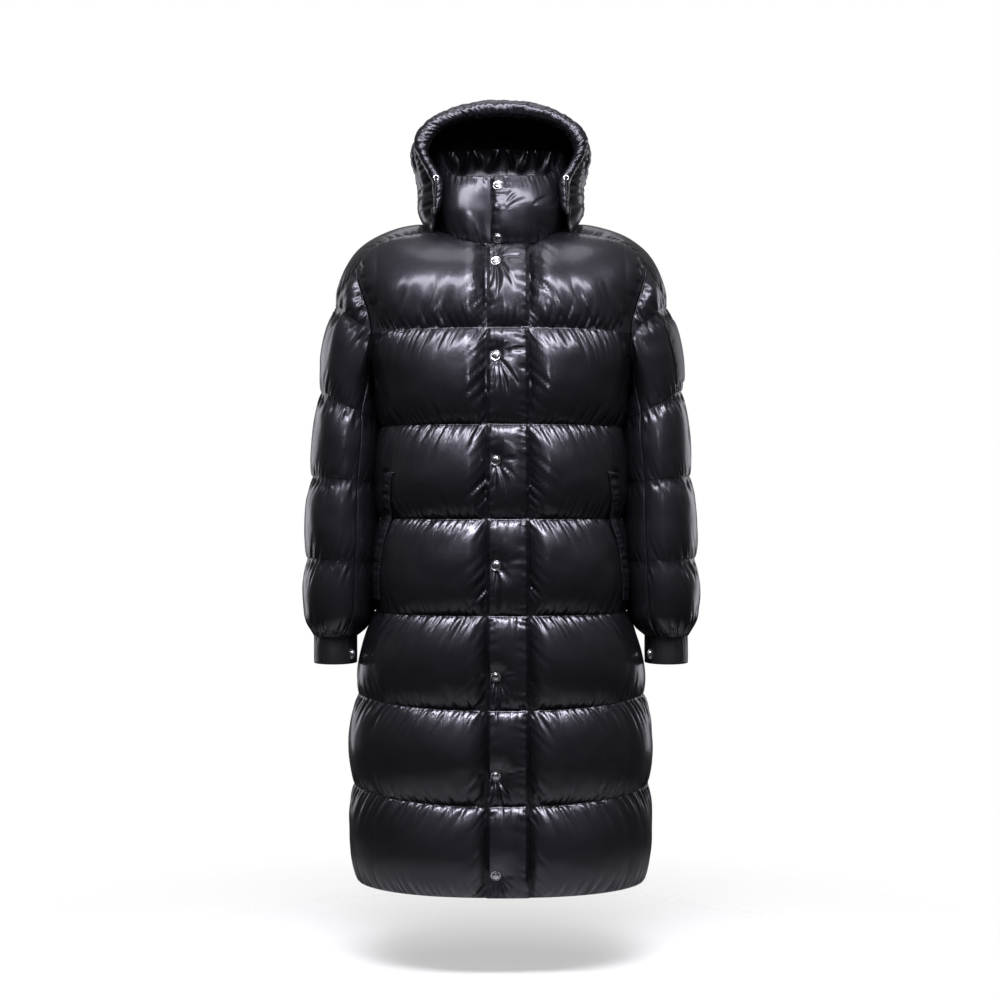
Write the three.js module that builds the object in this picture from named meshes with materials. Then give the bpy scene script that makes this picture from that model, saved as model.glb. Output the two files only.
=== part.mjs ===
// A long quilted down coat with a stand collar, a hood and a press-stud front, filled out as when worn.
// Millimetres. X points to the wearer's left, Y to the wearer's back and Z up.
// Z is 0 at the base of the neck, where the shoulders carry the coat.
import * as THREE from "three";

const V = (x, y, z) => new THREE.Vector3(x, y, z);

// Rows of numbers under named columns
function table(columns, rows) {
  return rows.map((row) => Object.fromEntries(columns.map((column, i) => [column, row[i]])));
}

// Driving dimensions
const wall = 3; // shell and lining together, where a line is stitched
const seamGap = 0.35; // between two pieces at a seam
const squareness = 2.4; // exponent of the body's cross sections, 2 being an ellipse
const sideSeamAngle = 95; // degrees from the centre front
const underarmLine = 5.25; // on the scale of the quilting lines below
const armholeAngle = 57; // where the first quilting line meets the armhole
const flapRightEdge = -21.6; // the storm flap's free edge
const flapLeftEdge = 42.4; // its sewn edge
const flapLift = 0.8; // the flap's inner face above the fronts
const flapWall = 2;
const centreGap = 0.8; // from the centre front to each front's edge
const cuffHeight = 43;
const cuffShare = 0.98; // of the sleeve's end
const studRadius = 8;

// The body's cross sections at its quilting lines, from the hem up. side lifts a line at the side seams.
const bodyLines = [
  { line: 0, z: -1030, side: 4, halfWidth: 228, front: 146, back: 140 },
  { line: 1, z: -890, side: 16, halfWidth: 233, front: 150, back: 144 },
  { line: 2, z: -744, side: 12, halfWidth: 226, front: 153, back: 146 },
  { line: 3, z: -600, side: 0, halfWidth: 199, front: 156, back: 146 },
  { line: 4, z: -453, side: 0, halfWidth: 192, front: 156, back: 144 },
  { line: 5, z: -309, side: 0, halfWidth: 191, front: 156, back: 142 },
  { line: 6, z: -162, side: -4, halfWidth: 232, front: 150, back: 140 },
];

// Upper edges of the front and back, from the centre out to the top of the armhole.
const frontTop = [
  { x: 0, y: -97, z: -32 },
  { x: 32, y: -94, z: -30 },
  { x: 62, y: -80, z: -22 },
  { x: 88, y: -54, z: -8 },
  { x: 130, y: -55, z: -9 },
  { x: 182, y: -58, z: -18 },
  { x: 210, y: -60, z: -36 },
  { x: 226, y: -61, z: -60 },
];
const backTop = [
  { x: 0, y: 68, z: 10 },
  { x: 45, y: 62, z: 9 },
  { x: 88, y: 40, z: 4 },
  { x: 130, y: 47, z: -4 },
  { x: 182, y: 54, z: -18 },
  { x: 210, y: 59, z: -36 },
  { x: 226, y: 61, z: -60 },
];
const neckCorner = 88; // where the shoulder yoke starts on those edges
const shoulderSteps = 7; // columns along the shoulder seam, the same in each piece that meets there
const frontNeckShare = 1 / 8;
const backNeckShare = 3 / 10;
const armholeTop = 226;
const armholeGap = 2.1; // across the seam, where the sleeve leaves the front and back at a slant
const yokeTurn = 40; // degrees round the sleeve head that the yoke takes on each side

// The crest of the shoulder yoke, from the neck out over the sleeve head.
const yokeCrest = [
  { reach: 0, x: 98, y: -7, z: 8 },
  { reach: 0.22, x: 135, y: -3, z: 8 },
  { reach: 0.46, x: 188, y: 0, z: -7 },
  { reach: 0.64, x: 222, y: 0, z: -29 },
  { reach: 0.78, x: 242, y: 0, z: -56 },
  { reach: 0.9, x: 255, y: 0, z: -88 },
  { reach: 1, x: 262, y: 0, z: -116 },
];

// The sleeve's cross sections, from its second quilting line to the cuff. tilt is a line's rise outwards.
const sleeveLines = [
  { line: 2, x: 243, y: 0, z: -275, halfWidth: 44, halfDepth: 76, tilt: 0.55 },
  { line: 3, x: 252, y: -3, z: -391, halfWidth: 48, halfDepth: 77, tilt: 0.1 },
  { line: 4, x: 259, y: -8, z: -517, halfWidth: 49, halfDepth: 74, tilt: 0.03 },
  { line: 4.7, x: 263, y: -12, z: -604, halfWidth: 44, halfDepth: 66, tilt: 0 },
  { line: 5, x: 263, y: -14, z: -639, halfWidth: 34, halfDepth: 48, tilt: 0 },
];
const firstSleeveLine = { x: 201, z: -162, slope: 0.75 }; // its inner end and its rise outwards

// Half of the collar's lower and upper edges, by the angle from the centre front
const collarEdges = table(
  ["angle", "x", "y", "z", "topX", "topY", "topZ"],
  [
    [0, 0, -97.5, -31, 0, -95, 79],
    [25, 40, -92, -27, 43, -89, 80],
    [50, 71, -73, -17, 75, -68, 86],
    [90, 97, -8, 10, 98, -8, 128],
    [130, 82, 44, 6, 84, 46, 143],
    [155, 45, 62, 10, 47, 66, 148],
    [180, 0, 68.5, 12, 0, 73, 152],
  ],
);
const collarStart = -9.5; // the lapping end, in degrees from the centre front
const collarEnd = 367;
const collarTuck = 11; // how far the under end lies inside the lapping end

// The hood's arches, from the face opening to the back of the neck. foot is where an arch meets the neck,
// waist its narrowest place above that, side its widest and crown its top.
const hoodArches = table(
  ["arch", "footX", "footY", "footZ", "waistX", "waistY", "sideX", "sideY", "sideZ", "crownY", "crownZ"],
  [
    [0, 112, -60, 8, 104, -68, 130, -62, 128, -58, 194],
    [1, 112, -34, 12, 121, -38, 136, -32, 122, -24, 199],
    [2, 104.6, 2, 17, 130, 3, 137, 6, 118, 14, 197],
    [3, 98, 32.4, 17, 122, 44, 126, 50, 112, 62, 182],
    [4, 84.6, 56, 19, 101, 78, 103, 88, 96, 106, 148],
    [5, 50, 70.6, 22, 64, 96, 66, 110, 68, 126, 96],
    [6, 20, 76.6, 24, 22, 80, 22, 82, 25, 84, 26],
  ],
);

const crownShare = 0.62; // of half an arch, from its crown to its widest place
const brim = {
  halfDepth: 13,
  halfHeight: 14,
  sideShare: 0.62, // its size down the sides
  inset: 6, // from the hood's edge in towards the face
  gap: 0.85,
  end: 0.965, // where it ends on the hood's front arch
  middleZ: 100,
  sides: 8,
  steps: 26,
};

// How high the down stands above the stitched lines.
const puff = {
  body: 18,
  bodySide: 11,
  bodyByArm: 4,
  sleeve: 10,
  sleeveByBody: 3,
  yoke: 8,
  collar: 9,
  hood: 8,
  flap: 11,
};
const gatherDepth = 1.5; // of the gathers on each side of a quilting line

// Press studs on the storm flap, by height, and on the collar
const flapStuds = [-58, -205, -364, -523, -692, -843, -995];
const flapStudX = -8;
const collarStuds = { x: -4.6, top: 62, base: -19 };
const cuffStud = { x: 238, z: -667 };
const studGap = 0.5;

// Slanted side pockets, by the quilting lines and by distance from the centre
const pocket = { topLine: 4.5, bottomLine: 3.15, topX: 163, bottomX: 192, weltWidth: 14 };
const weltThickness = 2;
const patch = { turns: [-20, 0, 20, 32.8, 40, 50], lines: [1.12, 1.32, 1.6, 1.86, 1.93], thickness: 1.5 };
const laidGap = 1.2;

// The hood's drawcord, at the wearer's left
const cordRadius = 1.5;
const eyelet = { x: 101, z: 76, radius: 5 };
const stopper = { radius: 4.5, length: 13 };
const cordRoute = [
  { x: 101, y: -91.4, z: 77 },
  { x: 101, y: -91.9, z: 66 },
  { x: 102.5, y: -91.8, z: 48 },
  { x: 104, y: -91.6, z: 31 },
];

// Where columns round the sleeve meet the edge of the front and back, by the body's quilting lines
const armholeTurns = [
  { turn: yokeTurn, line: 7 },
  { turn: 60, line: 6.6 },
  { turn: 80, line: 6.32 },
  { turn: 100, line: 6 },
  { turn: 120, line: 5.6 },
  { turn: 140, line: 5.32 },
  { turn: 160, line: 5.27 },
  { turn: 180, line: underarmLine },
];

// Columns round the sleeve, in degrees from the outside of the arm towards the front
const upperSleeveTurns = [-120, -100, -80, -60, -40, -32.8, -20, 0, 20, 32.8, 40, 60, 80, 100, 120];
const underSleeveTurns = [120, 140, 160, 180, 200, 220, 240];

// Materials
const shellCloth = new THREE.MeshStandardMaterial({ color: 0x0d0d11, roughness: 0.28, metalness: 0 });
const trimCloth = new THREE.MeshStandardMaterial({ color: 0x111113, roughness: 0.5, metalness: 0 });
const studMetal = new THREE.MeshStandardMaterial({ color: 0xc9cbd0, roughness: 0.2, metalness: 1 });
const cordCloth = new THREE.MeshStandardMaterial({ color: 0x0c0c0d, roughness: 0.7, metalness: 0 });

const radians = THREE.MathUtils.degToRad;
const clamp = THREE.MathUtils.clamp;
const lerp = THREE.MathUtils.lerp;

function smooth(from, to, at) {
  const t = clamp((at - from) / (to - from), 0, 1);
  return t * t * (3 - 2 * t);
}

function hermite(a, b, slopeA, slopeB, t) {
  const t2 = t * t;
  const t3 = t2 * t;
  return a * (2 * t3 - 3 * t2 + 1) + slopeA * (t3 - 2 * t2 + t) + b * (3 * t2 - 2 * t3) + slopeB * (t3 - t2);
}

// A table's row at any place between its rows, on a smooth curve through them
function rowAt(table, key, at) {
  let i = 0;
  while (i < table.length - 2 && at > table[i + 1][key]) i++;
  const [a, b] = [table[i], table[i + 1]];
  const before = table[i - 1] ?? a;
  const after = table[i + 2] ?? b;
  const span = b[key] - a[key];
  const t = clamp((at - a[key]) / span, 0, 1);
  const row = {};
  for (const column of Object.keys(a)) {
    const slopeA = ((b[column] - before[column]) / (b[key] - before[key])) * span;
    const slopeB = ((after[column] - a[column]) / (after[key] - a[key])) * span;
    row[column] = hermite(a[column], b[column], slopeA, slopeB, t);
  }
  return row;
}

function curveBetween(a, b, leaving, arriving, t) {
  const reach = a.distanceTo(b);
  return V(
    hermite(a.x, b.x, leaving.x * reach, arriving.x * reach, t),
    hermite(a.y, b.y, leaving.y * reach, arriving.y * reach, t),
    hermite(a.z, b.z, leaving.z * reach, arriving.z * reach, t),
  );
}

// Height of the down across one channel: 0 at its stitched lines, 1 where it is fullest
function fullness(t) {
  return Math.pow(Math.sin(Math.PI * Math.pow(clamp(t, 0, 1), 0.92)), 0.62);
}

// The body's surface through its stitched lines, below the first line
function bodyPoint(angle, line) {
  const ring = rowAt(bodyLines, "line", line);
  const s = Math.sin(radians(angle));
  const c = Math.cos(radians(angle));
  const power = 2 / squareness;
  const depth = c > 0 ? ring.front : ring.back;
  return V(
    ring.halfWidth * Math.sign(s) * Math.pow(Math.abs(s), power),
    -depth * Math.sign(c) * Math.pow(Math.abs(c), power),
    ring.z + ring.side * s * s,
  );
}

function angleOfX(x, line) {
  const ring = rowAt(bodyLines, "line", Math.min(line, 6));
  return THREE.MathUtils.radToDeg(Math.asin(Math.pow(Math.abs(x) / ring.halfWidth, squareness / 2)));
}

// The angle of the side seam, and above the underarm that of the armhole's edge
function outerAngle(line, isBack) {
  const rise = clamp((line - underarmLine) / (6 - underarmLine), 0, 1);
  const top = isBack ? 180 - armholeAngle : armholeAngle;
  return lerp(sideSeamAngle, top, Math.pow(rise, 0.6));
}

// Where a column meets the upper edge: its share up to the neck's corner, then evenly along the shoulder seam
function seamX(share, neckShare, insideX) {
  if (share < neckShare) return lerp(insideX, neckCorner, share / neckShare);
  return lerp(neckCorner, armholeTop, (share - neckShare) / (1 - neckShare));
}

// A point of the front on the wearer's left, before it is mirrored for the right.
// column is { x } for a column at that distance from the centre, or { share } from insideX to the outer edge.
function frontPoint(column, line, insideX) {
  const low = Math.min(line, 6);
  let angle;
  if (column.x !== undefined) angle = angleOfX(column.x, low);
  else angle = lerp(angleOfX(insideX, low), outerAngle(low, false), column.share);
  const foot = bodyPoint(angle, low);
  if (line <= 6) return foot;
  const topX = column.x ?? seamX(column.share, frontNeckShare, insideX);
  const top = rowAt(frontTop, "x", topX);
  return curveBetween(foot, V(top.x, top.y, top.z), V(0, 0.15, 0.9), V(0, 0.7, 0.6), line - 6);
}

// A point of the back. share runs from -1 at the wearer's right to 1 at the left.
function backPoint(share, line) {
  const low = Math.min(line, 6);
  const angle = 180 - share * (180 - outerAngle(low, true));
  const foot = bodyPoint(angle, low);
  if (line <= 6) return foot;
  const top = rowAt(backTop, "x", seamX(Math.abs(share), backNeckShare, 0));
  const head = V(top.x * Math.sign(share), top.y, top.z);
  return curveBetween(foot, head, V(0, -0.12, 0.9), V(0, -0.6, 0.6), line - 6);
}

// The yoke on the wearer's left. reach runs from the neck to the sleeve head and across from its front seam
// to its back one.
function yokePoint(reach, across) {
  const x = lerp(neckCorner, armholeTop, reach);
  const front = rowAt(frontTop, "x", x);
  const back = rowAt(backTop, "x", x);
  const crest = rowAt(yokeCrest, "reach", reach);
  const ofFront = 2 * (across - 0.5) * (across - 1);
  const ofCrest = 4 * across * (1 - across);
  const ofBack = 2 * across * (across - 0.5);
  return V(
    front.x * ofFront + crest.x * ofCrest + back.x * ofBack,
    front.y * ofFront + crest.y * ofCrest + back.y * ofBack,
    front.z * ofFront + crest.z * ofCrest + back.z * ofBack,
  );
}

// The armhole on the wearer's left. turn is 0 at the yoke's tip, 90 in front and 180 at the underarm.
function armholePoint(turn) {
  const isFront = turn <= 180;
  const fromHead = isFront ? turn : 360 - turn;
  if (fromHead <= yokeTurn) return yokePoint(1, 0.5 + ((isFront ? -0.5 : 0.5) * fromHead) / yokeTurn);
  let i = 0;
  while (i < armholeTurns.length - 2 && fromHead > armholeTurns[i + 1].turn) i++;
  const [a, b] = [armholeTurns[i], armholeTurns[i + 1]];
  const line = lerp(a.line, b.line, (fromHead - a.turn) / (b.turn - a.turn));
  return isFront ? frontPoint({ share: 1 }, line, flapLeftEdge) : backPoint(1, line);
}

// The left sleeve's ring. turn is 0 on the outside of the arm, 90 in front and 180 beside the body.
function sleeveRing(turn, line) {
  const ring = rowAt(sleeveLines, "line", line);
  const x = ring.halfWidth * Math.cos(radians(turn));
  return V(ring.x + x, ring.y - ring.halfDepth * Math.sin(radians(turn)), ring.z + ring.tilt * x);
}

function sleeveCap(turn, t) {
  const byBody = smooth(20, 170, turn <= 180 ? turn : 360 - turn);
  const leaving = V(lerp(0.35, 0.15, byBody), 0, lerp(-0.9, -1, byBody));
  const belowYoke = smooth(yokeTurn - 10, yokeTurn + 25, turn <= 180 ? turn : 360 - turn);
  const start = armholePoint(turn).addScaledVector(leaving, 2 * seamGap * (1 - belowYoke));
  start.x += armholeGap * belowYoke;
  return curveBetween(start, sleeveRing(turn, 2), leaving, V(0.1, 0, -0.95), t);
}

// Where the first quilting line crosses each run from the armhole down to the second line
const firstLineShare = new Map();
function firstLineAt(turn) {
  if (!firstLineShare.has(turn)) {
    let t = 0.03;
    const under = (p) => p.z < firstSleeveLine.z + (p.x - firstSleeveLine.x) * firstSleeveLine.slope;
    while (t < 0.9 && !under(sleeveCap(turn, t))) t += 0.005;
    firstLineShare.set(turn, t);
  }
  return firstLineShare.get(turn);
}

function sleevePoint(turn, line) {
  if (line >= 2) return sleeveRing(turn, line);
  const first = firstLineAt(turn);
  return sleeveCap(turn, line <= 1 ? line * first : lerp(first, 1, line - 1));
}

function collarPoint(angle, height) {
  const around = ((angle % 360) + 360) % 360;
  const side = around > 180 ? -1 : 1;
  const edge = rowAt(collarEdges, "angle", side > 0 ? around : 360 - around);
  const tuck = collarTuck * smooth(300, 352, angle);
  const x = side * lerp(edge.x, edge.topX, height);
  const p = V(x, lerp(edge.y, edge.topY, height), lerp(edge.z, edge.topZ, height));
  const inward = V(-p.x, -8 - p.y, 0).normalize();
  return p.addScaledVector(inward, tuck);
}

// along runs from -1 at the right foot of an arch, over its crown at 0, to 1 at the left foot
function hoodPoint(arch, along) {
  const row = rowAt(hoodArches, "arch", arch);
  const side = Math.sign(along) || 1;
  const turn = Math.abs(along) / crownShare;
  if (turn <= 1) {
    const s = Math.sin((turn * Math.PI) / 2);
    const c = Math.cos((turn * Math.PI) / 2);
    return V(side * row.sideX * s, lerp(row.sideY, row.crownY, c), lerp(row.sideZ, row.crownZ, c));
  }
  const down = clamp((Math.abs(along) - crownShare) / (1 - crownShare), 0, 1);
  const toWaist = smooth(0, 0.55, down);
  const toFoot = Math.pow(clamp((down - 0.4) / 0.6, 0, 1), 4);
  const x = lerp(lerp(row.sideX, row.waistX, toWaist), row.footX, toFoot);
  const y = lerp(lerp(row.sideY, row.waistY, toWaist), row.footY, toFoot);
  return V(side * x, y, lerp(row.sideZ, row.footZ, down));
}

// Surface normals of a grid of points, turned to the side that faceOut gives
function gridNormals(points, closed, faceOut) {
  const rows = points.length;
  const columns = points[0].length;
  return points.map((row, i) =>
    row.map((p, j) => {
      const up = points[Math.min(i + 1, rows - 1)][j].clone().sub(points[Math.max(i - 1, 0)][j]);
      const next = closed ? (j + 1) % columns : Math.min(j + 1, columns - 1);
      const last = closed ? (j + columns - 1) % columns : Math.max(j - 1, 0);
      const across = row[next].clone().sub(row[last]);
      const n = across.cross(up).normalize();
      return n.dot(faceOut(p)) < 0 ? n.negate() : n;
    }),
  );
}

// Joins an outer grid to an inner one that keeps only some of its rows, as one closed wall
function wallGeometry(outer, inner, keptRows, closed) {
  const columns = outer[0].length;
  const points = [...outer.flat(), ...inner.flat()];
  const faces = [];
  const out = (i, j) => i * columns + (j % columns);
  const inn = (k, j) => outer.length * columns + k * columns + (j % columns);
  const last = closed ? columns : columns - 1;
  const quad = (a, b, c, d) => faces.push([a, b, c], [a, c, d]);
  for (let i = 0; i < outer.length - 1; i++)
    for (let j = 0; j < last; j++) quad(out(i, j), out(i, j + 1), out(i + 1, j + 1), out(i + 1, j));
  for (let k = 0; k < inner.length - 1; k++)
    for (let j = 0; j < last; j++) quad(inn(k, j), inn(k + 1, j), inn(k + 1, j + 1), inn(k, j + 1));
  for (let j = 0; j < last; j++) {
    quad(out(0, j), inn(0, j), inn(0, j + 1), out(0, j + 1));
    const [i, k] = [outer.length - 1, inner.length - 1];
    quad(out(i, j), out(i, j + 1), inn(k, j + 1), inn(k, j));
  }
  const side = (j, flip) => {
    const face = (a, b, c) => faces.push(flip ? [a, c, b] : [a, b, c]);
    for (let k = 0; k < keptRows.length - 1; k++) {
      const [from, to] = [keptRows[k], keptRows[k + 1]];
      const middle = Math.ceil((from + to) / 2);
      for (let i = from; i < middle; i++) face(out(i, j), out(i + 1, j), inn(k, j));
      face(out(middle, j), inn(k + 1, j), inn(k, j));
      for (let i = middle; i < to; i++) face(out(i, j), out(i + 1, j), inn(k + 1, j));
    }
  };
  if (!closed) {
    side(0, false);
    side(columns - 1, true);
  }
  return solidGeometry(points, faces);
}

// A geometry whose faces point out, whichever way its grid ran
function solidGeometry(points, faces) {
  let volume = 0;
  for (const [a, b, c] of faces) volume += points[a].dot(points[b].clone().cross(points[c]));
  const geometry = new THREE.BufferGeometry();
  const numbers = points.flatMap((p) => [p.x, p.y, p.z]);
  geometry.setAttribute("position", new THREE.Float32BufferAttribute(numbers, 3));
  geometry.setIndex(faces.flatMap(([a, b, c]) => (volume < 0 ? [a, c, b] : [a, b, c])));
  geometry.computeVertexNormals();
  return geometry;
}

// Two pieces that meet turn their edges along this one direction, so that the seam between them is a mitre
function seamNormal(p) {
  const side = Math.sign(p.x);
  const upper = V(Math.max(Math.abs(p.x) - 185, 0) / 60, p.y / 80, (p.z + 190) / 130).normalize();
  const lower = V(1, 0.04, 0);
  const n = lower.lerp(upper, smooth(-310, -230, p.z)).normalize();
  return V(n.x * side, n.y, n.z);
}

function armholeNormal(p) {
  const side = Math.sign(p.x);
  return V((side * Math.max(Math.abs(p.x) - 185, 0)) / 60, p.y / 80, (p.z + 190) / 130).normalize();
}

// A padded wall over a grid. rise gives the down's height at row i and column j.
// seamed gives the direction at an edge that is sewn to another piece.
function paddedWall({ points, keptRows, closed = false, faceOut, rise, lift = 0, thickness = wall, seamed }) {
  const n = gridNormals(points, closed, faceOut).map((row, i) =>
    row.map((normal, j) => seamed?.(points[i][j], i, j) ?? normal),
  );
  const outer = points.map((row, i) =>
    row.map((p, j) => p.clone().addScaledVector(n[i][j], lift + (lift ? thickness : 0) + rise(i, j))),
  );
  const inner = keptRows.map((i) =>
    points[i].map((p, j) => p.clone().addScaledVector(n[i][j], lift || -thickness)),
  );
  return wallGeometry(outer, inner, keptRows, closed);
}

// Rows across a run of channels: five heights for each, and which rows the plain inside keeps
const channelSteps = [0, 0.09, 0.32, 0.6, 0.86];
function channelRows(first, last, steps = channelSteps) {
  const lines = [];
  const keptRows = [];
  for (let line = first; line < last; line++)
    steps.forEach((t, k) => {
      if (k === 0 || k === 3) keptRows.push(lines.length);
      lines.push({ line: line + t, t, channel: line });
    });
  keptRows.push(lines.length);
  lines.push({ line: last, t: 1, channel: last - 1 });
  return { lines, keptRows };
}

// Gathers: every second column stands a little lower beside a quilting line
function gather(row, j) {
  const besideLine = row.t === channelSteps[1] || row.t === channelSteps[4];
  return besideLine && j % 2 ? -gatherDepth : 0;
}

const coat = new THREE.Group();
function add(name, geometry, material) {
  const mesh = new THREE.Mesh(geometry, material);
  mesh.name = name;
  coat.add(mesh);
  return mesh;
}

// Copies a left-hand grid to the wearer's right
const mirrored = (points) => points.map((row) => row.map((p) => V(-p.x, p.y, p.z)));

// How far the rough directions out of the panels lean ahead, behind or up, in the panels' own coordinates
const lean = { body: 60, yoke: 90, collar: 8, hood: 60, flap: 0.3 };

// How high the body's down stands, by its place round the body and its channel: less where an arm lies
// beside it
const puffSideX = 190;
const besideArm = { bottom: -700, bottomFull: -600, topFull: -250, top: -180 };
function bodyPuff(p, row, height) {
  const toSide = Math.pow(Math.min(Math.abs(p.x) / puffSideX, 1), 3);
  const above = smooth(besideArm.bottom, besideArm.bottomFull, row.z);
  const byArm = above * (1 - smooth(besideArm.topFull, besideArm.top, row.z));
  const atSide = lerp(puff.bodySide, puff.bodyByArm, byArm);
  return lerp(height, atSide, toSide) * fullness(row.t);
}

// The down is thinner along the side seam, and flat along the armhole
const sideSeamPuff = (line) => (line < 5 ? 0.5 : 0);

function addFront(name, isLeft) {
  const flapEdge = isLeft ? flapLeftEdge : -flapRightEdge;
  const nearFlap = [centreGap, flapEdge + 1, flapEdge + 9, flapEdge + 30];
  const insideX = nearFlap[3];
  const columns = nearFlap.map((x) => ({ x }));
  for (let k = 0; k <= shoulderSteps; k++)
    columns.push({ share: lerp(frontNeckShare, 1, k / shoulderSteps) });
  const { lines, keptRows } = channelRows(0, 7);
  const points = lines.map((row) => columns.map((column) => frontPoint(column, row.line, insideX)));
  const inFlap = [0, 0, 0.55, 1];
  const rise = (i, j) => {
    const row = { ...lines[i], z: points[i][j].z };
    const atEdge = j < 4 ? inFlap[j] : j === columns.length - 1 ? sideSeamPuff(row.line) : 1;
    const down = bodyPuff(points[i][j], row, puff.body) * atEdge;
    return Math.max(down + (j > 1 && atEdge === 1 ? gather(row, j) : 0), 0);
  };
  const grid = isLeft ? points : mirrored(points);
  const isSewn = (i, j) => i === lines.length - 1 || j === columns.length - 1;
  const seamed = (p, i, j) => (isSewn(i, j) ? seamNormal(p) : undefined);
  const faceOut = (p) => V(p.x, p.y - lean.body, lean.body);
  add(name, paddedWall({ points: grid, keptRows, faceOut, rise, seamed }), shellCloth);
}

function addBack() {
  const steps = 20;
  const { lines, keptRows } = channelRows(0, 7);
  const inset = 1 - seamGap / 290;
  const points = lines.map((row) =>
    Array.from({ length: steps + 1 }, (_, j) => backPoint(inset * (1 - (2 * j) / steps), row.line)),
  );
  const rise = (i, j) => {
    const row = { ...lines[i], z: points[i][j].z };
    const atSeam = j === 0 || j === steps;
    const atEdge = atSeam ? sideSeamPuff(row.line) : 1;
    return Math.max(bodyPuff(points[i][j], row, puff.body) * atEdge + (atSeam ? 0 : gather(row, j)), 0);
  };
  const seamed = (p, i, j) => (i === lines.length - 1 || j === 0 || j === steps ? seamNormal(p) : undefined);
  const faceOut = (p) => V(p.x, p.y + lean.body, lean.body);
  add("back", paddedWall({ points, keptRows, faceOut, rise, seamed }), shellCloth);
}

function addYoke(name, isLeft) {
  const reaches = Array.from({ length: shoulderSteps + 1 }, (_, j) => j / shoulderSteps);
  const across = [0, 0.09, 0.25, 0.5, 0.75, 0.91, 1];
  const inset = 0.006;
  const points = across.map((q) => reaches.map((reach) => yokePoint(reach, lerp(inset, 1 - inset, q))));
  const rise = (i, j) => puff.yoke * fullness(across[i]) * (j === 0 || j === reaches.length - 1 ? 0.3 : 1);
  const grid = isLeft ? points : mirrored(points);
  const seamed = (p, i, j) =>
    i === 0 || i === across.length - 1 || j === reaches.length - 1 ? seamNormal(p) : undefined;
  const faceOut = (p) => V(p.x, 0, lean.yoke);
  add(name, paddedWall({ points: grid, keptRows: [0, 1, 2, 3, 4, 5, 6], faceOut, rise, seamed }), shellCloth);
}

// Upper and under sleeve, seamed in front and behind where the arm hides it, both round the sleeve's core
const sleeveCore = { capX: 190, capBottom: -260, crownBottom: -200, outside: 8 };
function addSleeve(name, isLeft, edges) {
  const { lines, keptRows } = channelRows(0, 5);
  const inset = 0.25;
  const steps = edges.length - 1;
  const turns = edges.map((turn, j) => (j === 0 ? turn + inset : j === steps ? turn - inset : turn));
  const points = lines.map((row) => turns.map((turn) => sleevePoint((turn + 360) % 360, row.line)));
  const rise = (i, j) => {
    const row = lines[i];
    const byBody = smooth(0.1, 0.9, (1 - Math.cos(radians(turns[j]))) / 2);
    const end = sleevePoint((turns[j] + 360) % 360, row.channel + 1);
    const room = row.channel < 2 ? smooth(0, 40, points[0][j].distanceTo(end)) : 1;
    const atSeam = j === 0 || j === steps ? 0.6 : 1;
    const down = lerp(puff.sleeve, puff.sleeveByBody, byBody) * fullness(row.t) * room * atSeam;
    return Math.max(down + (atSeam === 1 && row.channel > 0 ? 0.7 * gather(row, j) : 0), 0);
  };
  const grid = isLeft ? points : mirrored(points);
  const sign = isLeft ? 1 : -1;
  const armX = rowAt(sleeveLines, "line", 2).x + sleeveCore.outside;
  const faceOut = (p) => {
    const coreX = p.z > sleeveCore.capBottom ? sleeveCore.capX : armX;
    return V(p.x - sign * coreX, p.y, p.z > sleeveCore.crownBottom ? lean.body : 0);
  };
  const seamed = (p, i, j) => {
    if (i === 0) return armholeNormal(p);
    if (j > 0 && j < steps) return undefined;
    const n = sleeveNormal((edges[j] + 360) % 360, lines[i].line);
    return V(n.x * sign, n.y, n.z);
  };
  add(name, paddedWall({ points: grid, keptRows, faceOut, rise, seamed }), shellCloth);
}

// The left sleeve's own direction out at any place on it
function sleeveNormal(turn, line) {
  const ahead = sleevePoint((turn + 2) % 360, line).sub(sleevePoint((turn + 358) % 360, line));
  const down = sleevePoint(turn, Math.min(line + 0.04, 5)).sub(sleevePoint(turn, Math.max(line - 0.04, 0)));
  const n = ahead.cross(down).normalize();
  const away = V(Math.cos(radians(turn)), -Math.sin(radians(turn)), 0);
  return n.dot(away) < 0 ? n.negate() : n;
}

function addCuff(name, isLeft) {
  const turns = Array.from({ length: 18 }, (_, j) => j * 20);
  const end = rowAt(sleeveLines, "line", 5);
  const points = [seamGap, cuffHeight / 2, cuffHeight].map((drop) =>
    turns.map((turn) => {
      const p = sleeveRing(turn, 5);
      return V(lerp(end.x, p.x, cuffShare), lerp(end.y, p.y, cuffShare), p.z - drop);
    }),
  );
  const grid = isLeft ? points : mirrored(points);
  const centre = V((isLeft ? 1 : -1) * end.x, end.y, 0);
  const faceOut = (p) => p.clone().sub(centre).setZ(0);
  add(name, paddedWall({ points: grid, keptRows: [0, 2], closed: true, faceOut, rise: () => 0 }), trimCloth);
}

function addCollar() {
  const steps = 30;
  const heights = [0, 0.12, 0.35, 0.62, 0.88, 1];
  const angles = Array.from({ length: steps + 1 }, (_, j) => lerp(collarStart, collarEnd, j / steps));
  const points = heights.map((height) => angles.map((angle) => collarPoint(angle, height)));
  const rise = (i, j) => {
    const underLap = 1 - 0.75 * smooth(320, 352, angles[j]);
    const atEnd = j === 0 ? 0.25 : 1;
    return puff.collar * fullness(heights[i]) * underLap * atEnd;
  };
  const faceOut = (p) => V(p.x, p.y + lean.collar, 0);
  add("collar", paddedWall({ points, keptRows: [0, 2, 3, 5], faceOut, rise }), shellCloth);
}

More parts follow.
